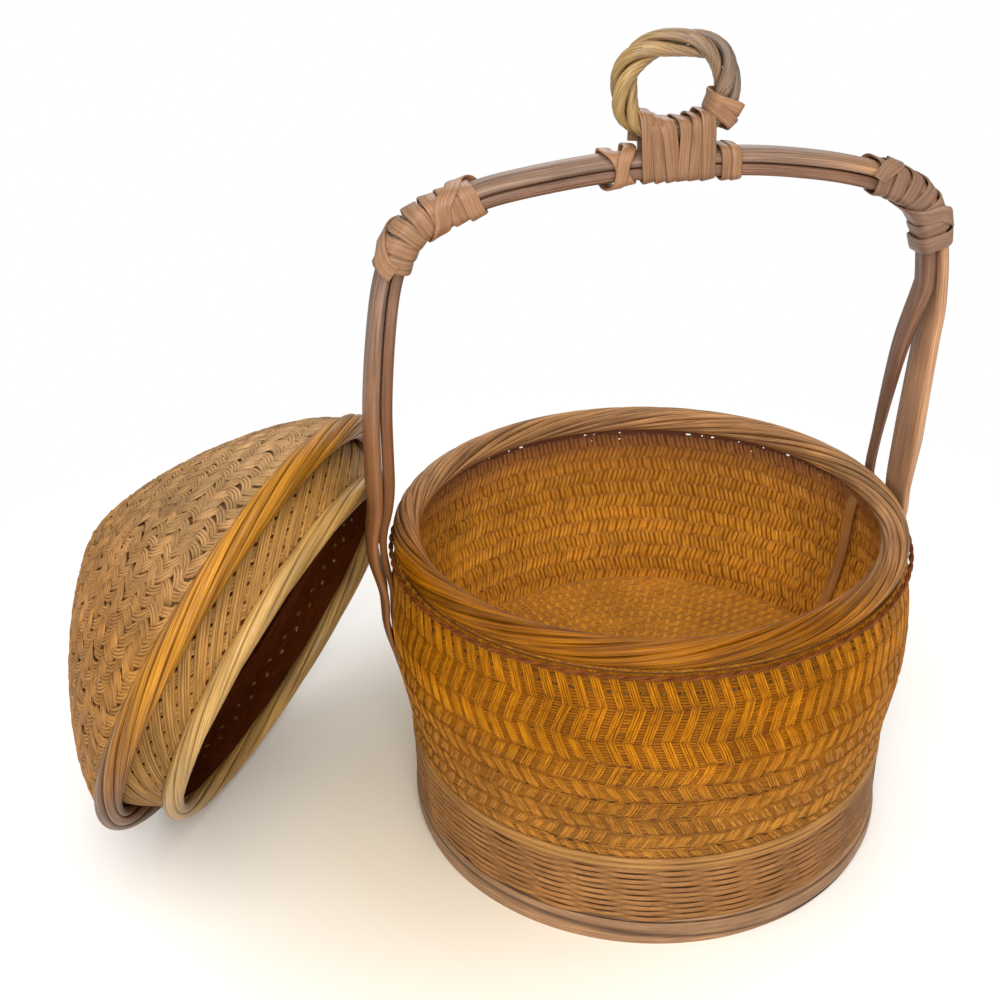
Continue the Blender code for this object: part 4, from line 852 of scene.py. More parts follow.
    def rim(self) -> None:
        """Lay the rolled rim and the twined cord under it."""
        strands, steps = 13, 288
        points, normals = self.laid_strands(self.RIM_RADIUS, self.RIM_HEIGHT, self.RIM_ROPE - mm(1.0), strands, 3,
                                            steps)
        width = mm(1.16) * (0.86 + 0.28 * random(strands, seed=30))[:, None]
        tone = random(strands, seed=31)
        self.shop.strands(self.piece("rim_strands", Cane.RIM, "rim_rods"),
                          Strands(points, normals, width, mm(0.98), True, tone), Section.ROUND)
        points, normals = self.laid_strands(self.RIM_RADIUS, self.RIM_HEIGHT, 0.0, 1, 0, 96)
        self.shop.strands(self.piece("rim_core", Cane.BACKING, "rim_core_hoop"),
                          Strands(points, normals, mm(3.9), mm(3.9), True), Section.ROUND)
        ring = self.SHOULDER + mm(0.3 + 0.3 + 1.1)
        points, normals = self.laid_strands(ring, self.WALL_TOP - mm(0.35), mm(0.50), 2, 44, 528)
        self.shop.strands(self.piece("rim_cord", Cane.CORD, "rim_seating_cord"),
                          Strands(points, normals, mm(0.62), mm(0.55), True, np.array([0.35, 0.75])),
                          Section.SMALL_ROUND)

    def foot(self) -> None:
        """Lay the foot: two smooth rods, fine woven rows over stakes, and the wide border strands."""
        steps = 240
        around = np.arange(steps)[None, :] * math.tau / steps
        heights = np.array([self.FOOT_HEIGHT - mm(1.3), self.FOOT_HEIGHT - mm(3.9)])[:, None]
        heights = heights + mm(0.15) * np.sin(around * 3 + np.array([0.0, 1.5])[:, None])
        radius = np.full((2, steps), self.FOOT_RADIUS - mm(1.45))
        points, normals = self.ring_points(around, radius, heights)
        self.shop.strands(self.piece("foot_rods", Cane.FOOT_ROD, "foot_top_rods"),
                          Strands(points, normals, mm(1.3), mm(1.4), True, np.array([0.7, 0.45])), Section.ROUND)

        rows, stakes = 19, 36
        steps = stakes * 8
        around = np.arange(steps)[None, :] * math.tau / steps
        top, bottom = self.FOOT_HEIGHT - mm(5.4), self.BORDER_HEIGHT + mm(0.2)
        pitch = (top - bottom) / rows
        level = top - pitch * (np.arange(rows)[:, None] + 0.5)
        phase = np.arange(rows)[:, None] * math.pi + level * 60.0
        wave = np.cos(around * stakes / 2 + phase)
        squared = np.sign(wave) * np.abs(wave) ** 0.7
        radius = self.FOOT_RADIUS - mm(1.55) + mm(0.55) * squared
        wander = np.sin(around * 5 + 6.0 * random(rows, 1, seed=43)) + np.sin(around * 9 + 6.0 * random(rows, 1, seed=44))
        heights = level + mm(0.12) * wander + mm(0.10) * (random(rows, steps, seed=40) - 0.5)
        points, normals = self.ring_points(around, radius, heights)
        width = mm(0.86) + mm(0.06) * squared
        tone = np.clip(0.15 + 0.6 * random(rows, seed=41)[:, None] + 0.3 * random(rows, steps, seed=42), 0, 1)
        # Painted shade where the rows turn in behind the stakes.
        depth = np.clip(0.76 + 0.24 * squared, 0.2, 1.0)
        self.shop.strands(self.piece("foot_rows", Cane.FOOT, "foot_randing"),
                          Strands(points, normals, width, mm(0.72), True, tone, depth), Section.SMALL_ROUND)

        # A layer behind the rows, almost all in the shadow colour, paints the shade seen in their gaps.
        angles = np.arange(160)[:, None] * math.tau / 160 + np.zeros((1, 2))
        points, _ = self.ring_points(angles, np.full_like(angles, self.FOOT_RADIUS - mm(2.3)),
                                     np.array([[top + mm(1.6), bottom]]))
        self.shop.grid(self.piece("foot_backing", Cane.FOOT), points[None], True, False, None,
                       np.full((1, 160), 0.15))
        angle = np.arange(stakes)[:, None] * math.tau / stakes + np.zeros((1, 2))
        upright = np.array([[bottom, self.FOOT_HEIGHT - mm(0.4)]])
        points, normals = self.ring_points(angle, np.full_like(angle, self.FOOT_RADIUS - mm(4.2)),
                                           np.broadcast_to(upright, angle.shape))
        self.shop.strands(self.piece("foot_stake_rods", Cane.BACKING),
                          Strands(points, normals, mm(1.1), mm(0.9)), Section.SMALL_ROUND)
        self.border()

    @staticmethod
    def ring_points(around: np.ndarray, radius: np.ndarray, heights: np.ndarray) -> Tuple[np.ndarray, np.ndarray]:
        """Give points and outward directions on rings."""
        around, radius, heights = np.broadcast_arrays(around, radius, heights)
        outward = np.stack([np.cos(around), np.sin(around), np.zeros_like(around)], axis=-1)
        points = outward * radius[..., None]
        points[..., 2] = heights
        return points, outward

    def border(self) -> None:
        """Lay the foot's border: wide flat strands that wind slowly round and stand flat below."""
        steps, corners, strands, twists = 256, 60, 5, 3
        half_width, half_height = mm(2.7), self.BORDER_HEIGHT / 2
        centre = self.FOOT_RADIUS + mm(0.3) - half_width
        around = np.arange(steps)[:, None] * math.tau / steps
        angle = math.pi / 2 - np.arange(corners)[None, :] * math.tau / corners
        lay = strands * (angle + around * twists / strands * 1.0) + 0.5 * np.sin(around * 4)
        lobe = np.abs(np.sin(lay / 2))
        dip = mm(0.95) * (1 - lobe) ** 2.2
        power = 2 / 3.2
        out = np.sign(np.cos(angle)) * np.abs(np.cos(angle)) ** power
        up = np.sign(np.sin(angle)) * np.abs(np.sin(angle)) ** power
        radius = centre + (half_width - dip) * out
        height = half_height + (half_height - np.where(up > 0, dip, 0.0)) * up
        flat = height < half_height / 4
        height = np.where(flat, 0.0, height)
        grid = np.stack([radius * np.cos(around), radius * np.sin(around), height + 0 * around], axis=-1)[None]
        # Painted shade in the grooves where the strands dip.
        shade = np.clip(lobe * 1.6, 0.15, 1.0).mean(axis=1)
        made = self.shop.grid(self.piece("border_strands", Cane.BORDER, "foot_border"), grid, True, True,
                              None, shade[None, :])
        values = np.clip(0.12 + lobe * 1.5, 0.0, 1.0).astype(np.float32).ravel()
        made.data.attributes["depth"].data.foreach_set("value", values)
        index = np.floor(lay / math.tau).astype(int) % strands
        tones = np.array([0.35, 0.8, 0.2, 0.6, 0.5])[index].astype(np.float32).ravel()
        made.data.attributes["tone"].data.foreach_set("value", tones)


class Handle:
    """The split-cane handle with its lashings and the hanging ring."""

    HALF_SPAN, APEX = mm(104.0), mm(267.4)
    LEG_WIDTH, ARCH_WIDTH, TIP_WIDTH = mm(18.5), mm(12.5), mm(4.0)
    LEG_THICKNESS = mm(6.4)
    GROOVE = mm(0.6)
    INNER_THICKNESS = mm(4.4)
    INNER_WIDTH = mm(12.5)
    STRIP_LEAVE = 0.918 * mm(267.4) - mm(5.8 * 7 / 2) - mm(9.2)
    LEFT = ((-0.985, 0.560), (-0.968, 0.705), (-0.922, 0.842), (-0.868, 0.908), (-0.790, 0.946))
    TOP = ((-0.640, 0.969), (-0.489, 0.984), (-0.181, 0.999), (0.077, 1.000), (0.314, 0.997))
    RIGHT = ((0.507, 0.988), (0.687, 0.974), (0.860, 0.952), (0.952, 0.925), (1.008, 0.873),
             (1.028, 0.786), (1.017, 0.722), (1.003, 0.640), (0.991, 0.567))
    OUTER_TAIL, INNER_TAIL, THINNED = mm(61.0), mm(92.0), mm(155.0)
    LEG_INNER = mm(99.3 + 0.3 + 0.3 + 2.2 + 0.3)
    RIM_TOP, RIM_BOTTOM = mm(134.0), mm(134.0 - 10.8)
    STEP = mm(2.6)
    SHINGLE = 0.14

    def __init__(self, shop: Workshop, body: BasketBody, matrix: Matrix) -> None:
        """Work out the line between the two splints.

        Args:
            shop: The maker of objects.
            body: The basket's body, for the wall's shape.
            matrix: The move from the basket's frame to the model's.
        """
        self.shop = shop
        self.body = body
        self.matrix = matrix
        fine = self.catmull_rom(self.line_points(), self.STEP / 4)
        gaps = np.linalg.norm(np.diff(fine, axis=0), axis=1)
        arc = np.concatenate([[0.0], np.cumsum(gaps)])
        count = int(round(arc[-1] / self.STEP))
        self.arc = np.linspace(0.0, arc[-1], count + 1)
        self.places = np.stack([np.interp(self.arc, arc, fine[:, axis]) for axis in range(3)], axis=1)
        along = np.gradient(self.places, axis=0)
        normals = np.stack([-along[:, 2], np.zeros(len(along)), along[:, 0]], axis=1)
        self.normals = unit(normals)

    def piece(self, name: str, cane: Cane, *stands_for: str) -> Piece:
        """Describe a piece of the handle."""
        return Piece(name, cane, "basket", stands_for, self.matrix)

    @staticmethod
    def catmull_rom(points: Sequence[Sequence[float]], step: float) -> np.ndarray:
        """Sample a smooth curve through the points, about one step apart."""
        knots = [np.array(point, dtype=float) for point in points]
        knots = [2 * knots[0] - knots[1]] + knots + [2 * knots[-1] - knots[-2]]
        samples = []
        for before, start, end, after in zip(knots, knots[1:], knots[2:], knots[3:]):
            count = max(1, int(round(float(np.linalg.norm(end - start)) / step)))
            for index in range(count):
                t = index / count
                samples.append(0.5 * (2 * start + (end - before) * t
                                      + (2 * before - 5 * start + 4 * end - after) * t ** 2
                                      + (3 * start - before - 3 * end + after) * t ** 3))
        samples.append(knots[-2])
        return np.array(samples)

    def inner_size(self, height: float) -> float:
        """Give the inner splint's thickness at a height on the left leg."""
        return float(np.interp(height, (self.INNER_TAIL, self.THINNED), (mm(1.0), self.INNER_THICKNESS)))

    def line_points(self) -> List[Tuple[float, float, float]]:
        """Give the points of the line between the two splints, left tail first."""
        heights = (self.OUTER_TAIL, (self.OUTER_TAIL + self.INNER_TAIL) / 2, self.INNER_TAIL,
                   (self.INNER_TAIL + self.body.WALL_TOP) / 2)
        left = []
        for height in heights:
            under = self.inner_size(height) + self.GROOVE if height >= self.INNER_TAIL else 0.0
            left.append((-(self.body.outer_radius(height) - mm(1.1) + under), 0.0, height))
        rim = self.LEG_INNER + self.inner_size(self.RIM_BOTTOM) + self.GROOVE / 2
        left += [(-rim, 0.0, self.RIM_BOTTOM), (-rim, 0.0, self.RIM_TOP)]
        rim = self.LEG_INNER - self.GROOVE / 2
        right = [(rim, 0.0, self.RIM_TOP), (rim, 0.0, self.RIM_BOTTOM)]
        right += [(self.body.outer_radius(height) - mm(1.1), 0.0, height) for height in reversed(heights)]
        upper = [(x * self.HALF_SPAN, 0.0, z * self.APEX) for x, z in self.LEFT + self.TOP + self.RIGHT]
        return left + upper + right

    def outer_size(self, height: float) -> Tuple[float, float]:
        """Give the outer splint's width and thickness at a height."""
        if height < self.RIM_BOTTOM:
            span = (self.OUTER_TAIL, self.RIM_BOTTOM)
            return (float(np.interp(height, span, (self.TIP_WIDTH, self.LEG_WIDTH))),
                    float(np.interp(height, span, (mm(1.0), mm(4.6)))))
        if height < self.THINNED:
            return self.LEG_WIDTH, float(np.interp(height, (self.RIM_TOP, self.THINNED), (mm(4.6), self.LEG_THICKNESS)))
        span = (self.THINNED, self.APEX)
        return (float(np.interp(height, span, (self.LEG_WIDTH, self.ARCH_WIDTH))),
                float(np.interp(height, span, (self.LEG_THICKNESS, mm(4.5)))))

    def build(self) -> None:
        """Make the splints, the windings and the ring."""
        self.outer_splint()
        self.inner_splint()
        self.lashings()
        self.ring()

    def outer_splint(self) -> None:
        """Make the outer splint, crowned outside and scored along its fibres."""
        side = np.array([0.0, 1.0, 0.0])
        across = np.array([-0.93, -1.0, -1.0, -0.93, -0.78, -0.60, -0.42, -0.22, 0.0, 0.22, 0.42, 0.60, 0.78, 0.93,
                           1.0, 1.0, 0.93, 0.4, -0.4])
        up = np.array([0.0, 0.08, 0.36, 0.52, 0.70, 0.84, 0.93, 0.985, 1.0, 0.985, 0.93, 0.84, 0.70, 0.52, 0.36,
                       0.08, 0.0, 0.03, 0.03])
        sections = []
        for index, place in enumerate(self.places):
            width, thickness = self.outer_size(place[2])
            ridge = 0.022 * np.sin(np.arange(len(up)) * 2.6 + index * 0.05)
            reach = self.GROOVE / 2 + thickness * np.clip(up + np.where(up > 0.3, ridge, 0.0), 0.0, 1.0)
            sections.append(place + side * (width / 2 * across)[:, None] + self.normals[index] * reach[:, None])
        made = self.shop.grid(self.piece("handle_outer", Cane.SPLINT, "handle_outer_splint"),
                              np.array(sections)[None], False, True, np.array([0.55]))
        # Painted highlight and shade: the splint's edges are drawn brightest, its crowned skin in between and its
        # underside darkest.
        ridge = np.where((np.abs(across) > 0.9) & (up > 0.3), 1.0, np.where(up > 0.3, 0.45, 0.15))
        made.data.attributes["tone"].data.foreach_set(
            "value", np.tile(ridge, len(sections)).astype(np.float32))
        # Here the depth attribute carries the share of the splint's own colour against the amber of its shadow colour.
        own_colour_share = np.repeat([self.own_colour_share(place) for place in self.places], len(across))
        made.data.attributes["depth"].data.foreach_set("value", own_colour_share.astype(np.float32))

    def own_colour_share(self, place: np.ndarray) -> float:
        """Give the share of the splint's own colour at a place; the left leg turns amber lower down."""
        heights = (mm(120.0), mm(175.0), mm(225.0))
        return float(np.interp(place[2], heights, (0.20, 0.42, 1.0))) if place[0] < 0 else 1.0

    def inner_frames(self) -> List[Tuple[np.ndarray, np.ndarray, np.ndarray, float, float]]:
        """Give the inner splint's place, side, skin direction, width and thickness along its length."""
        side = np.array([0.0, 1.0, 0.0])
        first = int(np.argmin(np.linalg.norm(self.places - np.array([-self.body.BELLY, 0, self.INNER_TAIL]), axis=1)))
        leave = int(np.argmin(np.linalg.norm(self.places - np.array([self.HALF_SPAN, 0, self.STRIP_LEAVE]), axis=1)))
        frames = []
        for place, normal in zip(self.places[first:leave + 1], self.normals[first:leave + 1]):
            on_left = place[0] < 0 and place[2] < self.THINNED
            thickness = self.inner_size(place[2]) if on_left else self.INNER_THICKNESS
            width = float(np.interp(place[2], (self.INNER_TAIL, self.APEX), (mm(5.2), self.INNER_WIDTH)))
            frames.append((place - normal * (self.GROOVE / 2 + thickness / 2), side, normal, width, thickness))
        return frames + self.strip_frames(frames[-1])

    def strip_frames(self, start: Tuple) -> List[Tuple[np.ndarray, np.ndarray, np.ndarray, float, float]]:
        """Give the frames of the strip that leaves the right leg and runs down inside the wall."""
        half = mm(0.9)
        pierce, end = mm(116.5), mm(50.0)
        inside_top = pierce - (self.RIM_BOTTOM - pierce)
        lower = []
        for height in (self.RIM_TOP, self.RIM_BOTTOM, pierce, inside_top, (inside_top + end) / 2, end):
            azimuth = math.radians(float(np.interp(height, (end, self.RIM_BOTTOM), (19.5, 12.0))))
            inner = self.body.outer_radius(min(height, self.body.WALL_TOP)) - self.body.THICKNESS
            radius = self.LEG_INNER + half if height >= self.RIM_BOTTOM else inner - mm(0.9) - half
            if height == pierce:
                radius = inner + self.body.THICKNESS / 2
            lower.append(np.array([radius * math.cos(azimuth), radius * math.sin(azimuth), height]))
        top = start[0]
        share = (top[2] - mm(186.0)) / (top[2] - self.RIM_TOP)
        bowed = top + (lower[0] - top) * share - np.array([mm(2.2), 0.0, 0.0])
        along = np.cross(start[1], start[2])
        before = top + along * math.copysign(mm(12.0), along[2])
        lead = int(round(mm(12.0) / self.STEP))
        places = self.catmull_rom([before, top, bowed] + lower, self.STEP)[lead:]
        along = unit(np.gradient(places, axis=0))
        frames = []
        for place, tangent in zip(places[1:], along[1:]):
            outward = unit(np.array([place[0], place[1], 0.0]))
            side = unit(np.cross(outward, tangent))
            span = (mm(145.0), mm(182.0), top[2])
            width = float(np.interp(place[2], span, (mm(5.2), mm(7.5), start[3])))
            thickness = float(np.interp(place[2], span, (mm(1.8), mm(3.4), start[4])))
            frames.append((place, side, unit(np.cross(tangent, side)), width, thickness))
        return frames

    def inner_splint(self) -> None:
        """Make the inner splint and the strip that it becomes."""
        shape = np.array([(-0.94, 1.0), (-1.0, 0.8), (-1.0, -0.3), (-0.9, -0.75), (-0.62, -0.97), (-0.2, -1.0),
                          (0.2, -0.95), (0.62, -1.0), (0.9, -0.75), (1.0, -0.3), (1.0, 0.8), (0.94, 1.0), (0.0, 0.92)])
        shape = shape[::-1]
        frames = self.inner_frames()
        sections = np.array([place + side * (width / 2 * shape[:, 0:1]) + normal * (thickness / 2 * shape[:, 1:2])
                             for place, side, normal, width, thickness in frames])
        enters = [place[0] > 0 and place[2] < self.RIM_BOTTOM for place, *_ in frames].index(True)
        own_colour_share = np.array([self.own_colour_share(frame[0]) for frame in frames[:enters + 1]])
        self.shop.grid(self.piece("handle_inner", Cane.INNER_SPLINT, "handle_inner_splint"),
                       sections[None, :enters + 1], False, True, np.array([0.5]), own_colour_share[None])
        self.shop.grid(self.piece("handle_inner_strip", Cane.STRIP), sections[None, enters:], False, True,
                       np.array([0.5]))

    def at(self, distance: float) -> Tuple[np.ndarray, np.ndarray]:
        """Give the place and the outward direction at a distance along the line."""
        place = np.array([np.interp(distance, self.arc, self.places[:, axis]) for axis in range(3)])
        normal = np.array([np.interp(distance, self.arc, self.normals[:, axis]) for axis in range(3)])
        return place, unit(normal)

    def distance_to(self, x: float, z: float) -> float:
        """Give the distance along the line to its point nearest a place."""
        fine = np.linspace(0.0, self.arc[-1], 4000)
        places = np.stack([np.interp(fine, self.arc, self.places[:, axis]) for axis in (0, 2)], axis=1)
        return float(fine[np.argmin(np.linalg.norm(places - np.array([x, z]), axis=1))])

    def splints_outline(self, distance: float) -> Tuple[np.ndarray, np.ndarray, float, float, float]:
        """Give both splints' outline: place, direction, half width, low and high reach."""
        place, normal = self.at(distance)
        width, thickness = self.outer_size(place[2])
        low = -self.GROOVE / 2 - self.INNER_THICKNESS - mm(0.4)
        return place, normal, width / 2, low, self.GROOVE / 2 + thickness

    def wind(self, name: str, outline, knots: Sequence[Tuple[float, float, float]], node: str, squareness: float = 3.6,
             standoff: float = mm(0.8), width: float = mm(5.9), tone: float = 0.6,
             per_turn: int = 40) -> bpy.types.Object:
        """Wind one flat cane round an outline.

        Args:
            name: The piece's name.
            outline: A function of distance that gives the outline.
            knots: (turns, distance, layer) along the winding.
            node: The CAD node that it replaces.
            squareness: How square the turns are.
            standoff: Distance of the cane's middle from the outline.
            width: The cane's width.
            tone: Its shade.
            per_turn: Points in each turn.

        Returns:
            The new object.
        """
        table = np.array(knots, dtype=float)
        turns = table[-1, 0]
        count = int(round(turns * per_turn))
        points, normals = [], []
        side = np.array([0.0, 1.0, 0.0])
        for index in range(count + 1):
            turn = turns * index / count
            angle = math.tau * turn
            distance = float(np.interp(turn, table[:, 0], table[:, 1]))
            rise = standoff + mm(1.5) * float(np.interp(turn, table[:, 0], table[:, 2]))
            place, normal, half_width, low, high = outline(distance)
            half_height = (high - low) / 2 + rise
            middle = place + normal * ((high + low) / 2)
            cosine = math.copysign(abs(math.cos(angle)) ** (2 / squareness), math.cos(angle))
            sine = math.copysign(abs(math.sin(angle)) ** (2 / squareness), math.sin(angle))
            points.append(middle + side * ((half_width + rise) * cosine) + normal * (half_height * sine))
            outward = side * (math.cos(angle) / (half_width + rise)) + normal * (math.sin(angle) / half_height)
            shingle = np.cross(side, normal) * self.SHINGLE
            normals.append(unit(unit(outward) + shingle))
        strands = Strands(np.array(points)[None], np.array(normals)[None], width / 2, mm(0.42),
                          tone=np.array([tone]))
        return self.shop.strands(self.piece(name, Cane.BINDING, node), strands, Section.FLAT)

    def lashings(self) -> None:
        """Wind the two corner lashings, the ring's lashing and its ties."""
        pitch, turns, back = mm(5.8), 7, 1.5
        half = pitch * turns / 2
        for name, node, x, z, ahead in (("lashing_left_cane", "lashing_left", -0.770, 0.946, 0.0),
                                        ("lashing_right_cane", "lashing_right", 0.935, 0.918, mm(3.0))):
            middle = self.distance_to(x * self.HALF_SPAN, z * self.APEX) - ahead
            knots = [(0.0, middle - half, 0.0), (turns - 0.5, middle + half - pitch * 0.5, 0.0),
                     (turns, middle + half, 0.6), (turns + back, middle - half, 0.6)]
            self.wind(name, self.splints_outline, knots, node)
        centre, apex = self.ring_centre()
        half = mm(5.2) * 4 / 2
        reach_along = mm(12.4)

        def ring_foot(distance: float) -> Tuple[np.ndarray, np.ndarray, float, float, float]:
            """Give the outline of both splints and the ring's foot."""
            place, _ = self.at(distance)
            width, _ = self.outer_size(place[2])
            turn = math.radians(43.0) * (distance - apex) / half
            middle, outward = self.ring_frame(centre, turn - math.pi / 2)
            inner_face = middle - outward * mm(4.0)
            reach = inner_face - place
            return (place, unit(reach), width / 2, -self.GROOVE / 2 - self.INNER_THICKNESS,
                    float(np.linalg.norm(reach)))

        def ring_tube(distance: float) -> Tuple[np.ndarray, np.ndarray, float, float, float]:
            """Give the outline of the ring's tube."""
            place, outward = self.ring_frame(centre, math.radians(-40.0) + distance / mm(17.9))
            return place, outward, mm(5.0), mm(-5.0), mm(5.0)

        self.wind("ring_lashing_cane", ring_foot,
                  [(0.0, apex - reach_along, 0.0), (6, apex + reach_along, 0.0)], "ring_lashing",
                  4.5, mm(0.9), mm(5.1), 0.4)
        offset = half + mm(5.0)
        length = mm(5.6) * 2
        start = apex - offset - length + mm(3.0)
        crossing = [(0.0, start, 0.0), (0.25, start, 0.0), (0.75, start + mm(8.0), 0.0),
                    (1.25, start + mm(8.0), 0.6), (1.75, start, 0.6), (2.0, start, 0.6)]
        self.wind("ring_tie_left_cane", self.splints_outline, crossing, "ring_tie_left", tone=0.8, width=mm(4.6))
        start = apex + offset
        self.wind("ring_tie_base_cane", self.splints_outline, [(0.0, start, 0.0), (2, start + mm(7.0), 0.0)],
                  "ring_tie_base", tone=0.5, width=mm(3.8))
        self.wind("ring_tie_right_cane", ring_tube, [(0.0, 0.0, 0.0), (2, mm(9.0), 0.0)], "ring_tie_right",
                  width=mm(4.6), tone=0.65)

    def ring_centre(self) -> Tuple[np.ndarray, float]:
        """Give the hanging ring's centre and its distance along the arch."""
        apex = self.distance_to(mm(7.1), self.APEX)
        place, _ = self.at(apex)
        _, thickness = self.outer_size(place[2])
        crown = place[2] + self.GROOVE / 2 + thickness
        return np.array([place[0], 0.0, crown + mm(0.3) + mm(19.75)]), apex

    @staticmethod
    def ring_point(centre: np.ndarray, angle: float) -> np.ndarray:
        """Give a point of the middle line of the ring's tube."""
        power = 2 / 2.4
        cosine = math.copysign(abs(math.cos(angle)) ** power, math.cos(angle))
        sine = math.copysign(abs(math.sin(angle)) ** power, math.sin(angle))
        return centre + np.array([mm(17.9) * cosine, 0.0, mm(14.75) * sine])

    def ring_frame(self, centre: np.ndarray, angle: float) -> Tuple[np.ndarray, np.ndarray]:
        """Give a point of the ring's middle line and the direction away from the ring's centre."""
        place = self.ring_point(centre, angle)
        tangent = unit(self.ring_point(centre, angle + math.radians(1.0)) - place)
        return place, np.array([tangent[2], 0.0, -tangent[0]])

    def ring(self) -> None:
        """Lay the ring's strand three times round, broad and twisted."""
        centre, _ = self.ring_centre()
        laps, lay_turns, steps = 3, 7, 3 * 96
        reach = mm(5.0 - 2.1)
        points, normals, tone, depth = [], [], [], []
        for index in range(steps):
            around = math.tau * laps * index / steps
            lay = math.tau * lay_turns * index / steps
            outward = np.array([math.cos(around), 0.0, math.sin(around)])
            side = np.array([0.0, 1.0, 0.0])
            away = outward * math.cos(lay) + side * math.sin(lay)
            low = math.exp(-((math.sin(around) + 1.0) / 0.45) ** 2)
            centre_line = self.ring_point(centre, around) - outward * (mm(1.0) * low)
            points.append(centre_line + away * (reach * (1 - 0.3 * low)))
            normals.append(away)
            tone.append(0.55 + 0.35 * math.sin(around * 1.3 + 0.6))
            # Painted shade: the ring's right side darkens towards the grey shadow colour, in bands along the lay.
            depth.append(1.0 - 0.65 * max(0.0, math.cos(around - 0.15) * math.cos(lay * 0.5) ** 2) ** 0.8)
        strands = Strands(np.array(points)[None], np.array(normals)[None], mm(2.6), mm(1.9), True,
                          np.array(tone)[None], np.array(depth)[None])
        self.shop.strands(self.piece("ring_strand", Cane.RING, "hanging_ring"), strands, Section.ROUND)


class Lid:
    """The loose domed lid, built in its own frame and set down leaning."""

    OUTER, ROPE, CORE = mm(96.5), mm(5.1), mm(1.9)
    HEIGHT, POWER = mm(73.5), 1.33
    COLLAR_DEPTH = mm(18.4)
    EDGE_RADIUS, EDGE_ROPE = mm(81.2), mm(4.1)
    TILT = math.radians(26.0)
    SEGMENT_SHARE = math.cos(math.pi / 32)

    def __init__(self, shop: Workshop, joint: Dict[str, object]) -> None:
        """Find the lid's place from its hinge.

        Args:
            shop: The maker of objects.
            joint: The record's joint.
        """
        self.shop = shop
        self.centre_radius = self.OUTER - self.ROPE
        axis = joint["axis"]
        facing = math.atan2(-axis[0], axis[1])
        lean = self.centre_radius * math.sin(self.TILT)
        rise = self.centre_radius * math.cos(self.TILT)
        self.matrix = (Matrix.Translation(Vector(joint["pos_m"])) @ Matrix.Rotation(facing, 4, "Z")
                       @ Matrix.Translation(Vector((-lean, 0.0, rise)))
                       @ Matrix.Rotation(math.pi / 2 - self.TILT, 4, "Y"))

    def piece(self, name: str, cane: Cane, *stands_for: str) -> Piece:
        """Describe a piece of the lid."""
        return Piece(name, cane, "lid", stands_for, self.matrix)

    def build(self) -> None:
        """Make every piece."""
        self.dome()
        self.collar()
        self.rope("lid_rim_cane", Cane.LID_RIM, ("lid_rim_strands",), self.centre_radius, 0.0, self.ROPE, 7, 3)
        self.rope("lid_edge_cane", Cane.EDGE, ("lid_edge_strands",), self.EDGE_RADIUS - self.EDGE_ROPE,
                  -self.COLLAR_DEPTH, self.EDGE_ROPE, 5, 3)

    def dome_surface(self, inset: float) -> TurnedSurface:
        """Give the dome's surface at a depth under its skin."""
        base = self.ROPE + mm(0.3)
        profile = []
        for angle in np.linspace(math.pi / 2, 0.0, 160):
            radius = (self.centre_radius + mm(0.3)) * math.cos(angle) ** (2 / self.POWER)
            height = base + (self.HEIGHT - base) * math.sin(angle) ** (2 / self.POWER)
            profile.append((max(radius, mm(0.01)), height))
        surface = TurnedSurface(profile)
        if inset:
            surface.points = surface.points - surface.skin * inset
            surface.points[:, 0] = np.maximum(surface.points[:, 0], mm(0.01))
        return surface

    def dome(self) -> None:
        """Lay the dome's curved twill over a dark layer."""
        surface = self.dome_surface(0.0)
        row_height = mm(5.9)
        rows = int((surface.length - mm(4.0)) / row_height)
        strands, steps = 3, 8
        shares = np.linspace(0.0, 1.0, steps)
        starts: List[Tuple[float, float, int]] = []
        for row in range(rows + 1):
            arc = surface.length - row_height * (row + 0.45)
            radius = float(surface.radius(np.array(arc)))
            number = max(5, int(round(radius * math.tau / mm(5.2))))
            starts += [(arc, (item + 0.37 * row) * math.tau / number, row) for item in range(number)]
        table = np.array(starts)
        count = len(table)
        lean = np.where(table[:, 2] % 2 == 0, 1.0, -1.0)[:, None]
        along = mm(8.8) * np.sin(shares * math.pi / 2)[None, :] - mm(4.6)
        aside = mm(6.4) * (1 - np.cos(shares * math.pi / 2))[None, :] - mm(2.8)
        turn = (random(count, seed=55)[:, None] - 0.5) * math.radians(34.0)
        bend = aside * (0.75 + 0.6 * random(count, seed=56)[:, None])
        reach = along * (0.88 + 0.26 * random(count, seed=57)[:, None])
        centre_arc = table[:, 0:1] + reach * np.cos(turn) - bend * np.sin(turn)
        centre_aside = lean * (bend * np.cos(turn) + reach * np.sin(turn))
        centre_arc = centre_arc + (random(count, seed=50)[:, None] - 0.5) * mm(1.5)
        centre_aside = centre_aside + (random(count, seed=51)[:, None] - 0.5) * mm(1.5)
        direction_arc = np.gradient(centre_arc, axis=1)
        direction_aside = np.gradient(centre_aside, axis=1)
        size = np.hypot(direction_arc, direction_aside)
        points_arc, points_aside = [], []
        for strand in range(strands):
            offset = (strand - 1) * mm(1.28)
            points_arc.append(centre_arc - direction_aside / size * offset)
            points_aside.append(centre_aside + direction_arc / size * offset)
        arc = np.concatenate(points_arc)
        aside = np.concatenate(points_aside)
        arc = np.clip(arc, mm(0.5), surface.length - mm(0.2))
        radius = np.maximum(surface.radius(arc), mm(3.0))
        angle = np.tile(table[:, 1:2], (strands, 1)) + aside / radius
        rise = 1 - np.abs(2 * shares - 1) ** 2.2
        lift = mm(-1.15) + mm(1.0) * rise[None, :] + mm(0.45) * (random(count * strands, seed=52)[:, None] - 0.5)
        points, normals = surface.place(angle, arc, np.broadcast_to(lift, arc.shape))
        tone = 0.2 + 0.8 * np.tile(random(count, seed=53), strands)
        tone = np.clip(tone + 0.25 * (random(count * strands, seed=54) - 0.5), 0, 1)
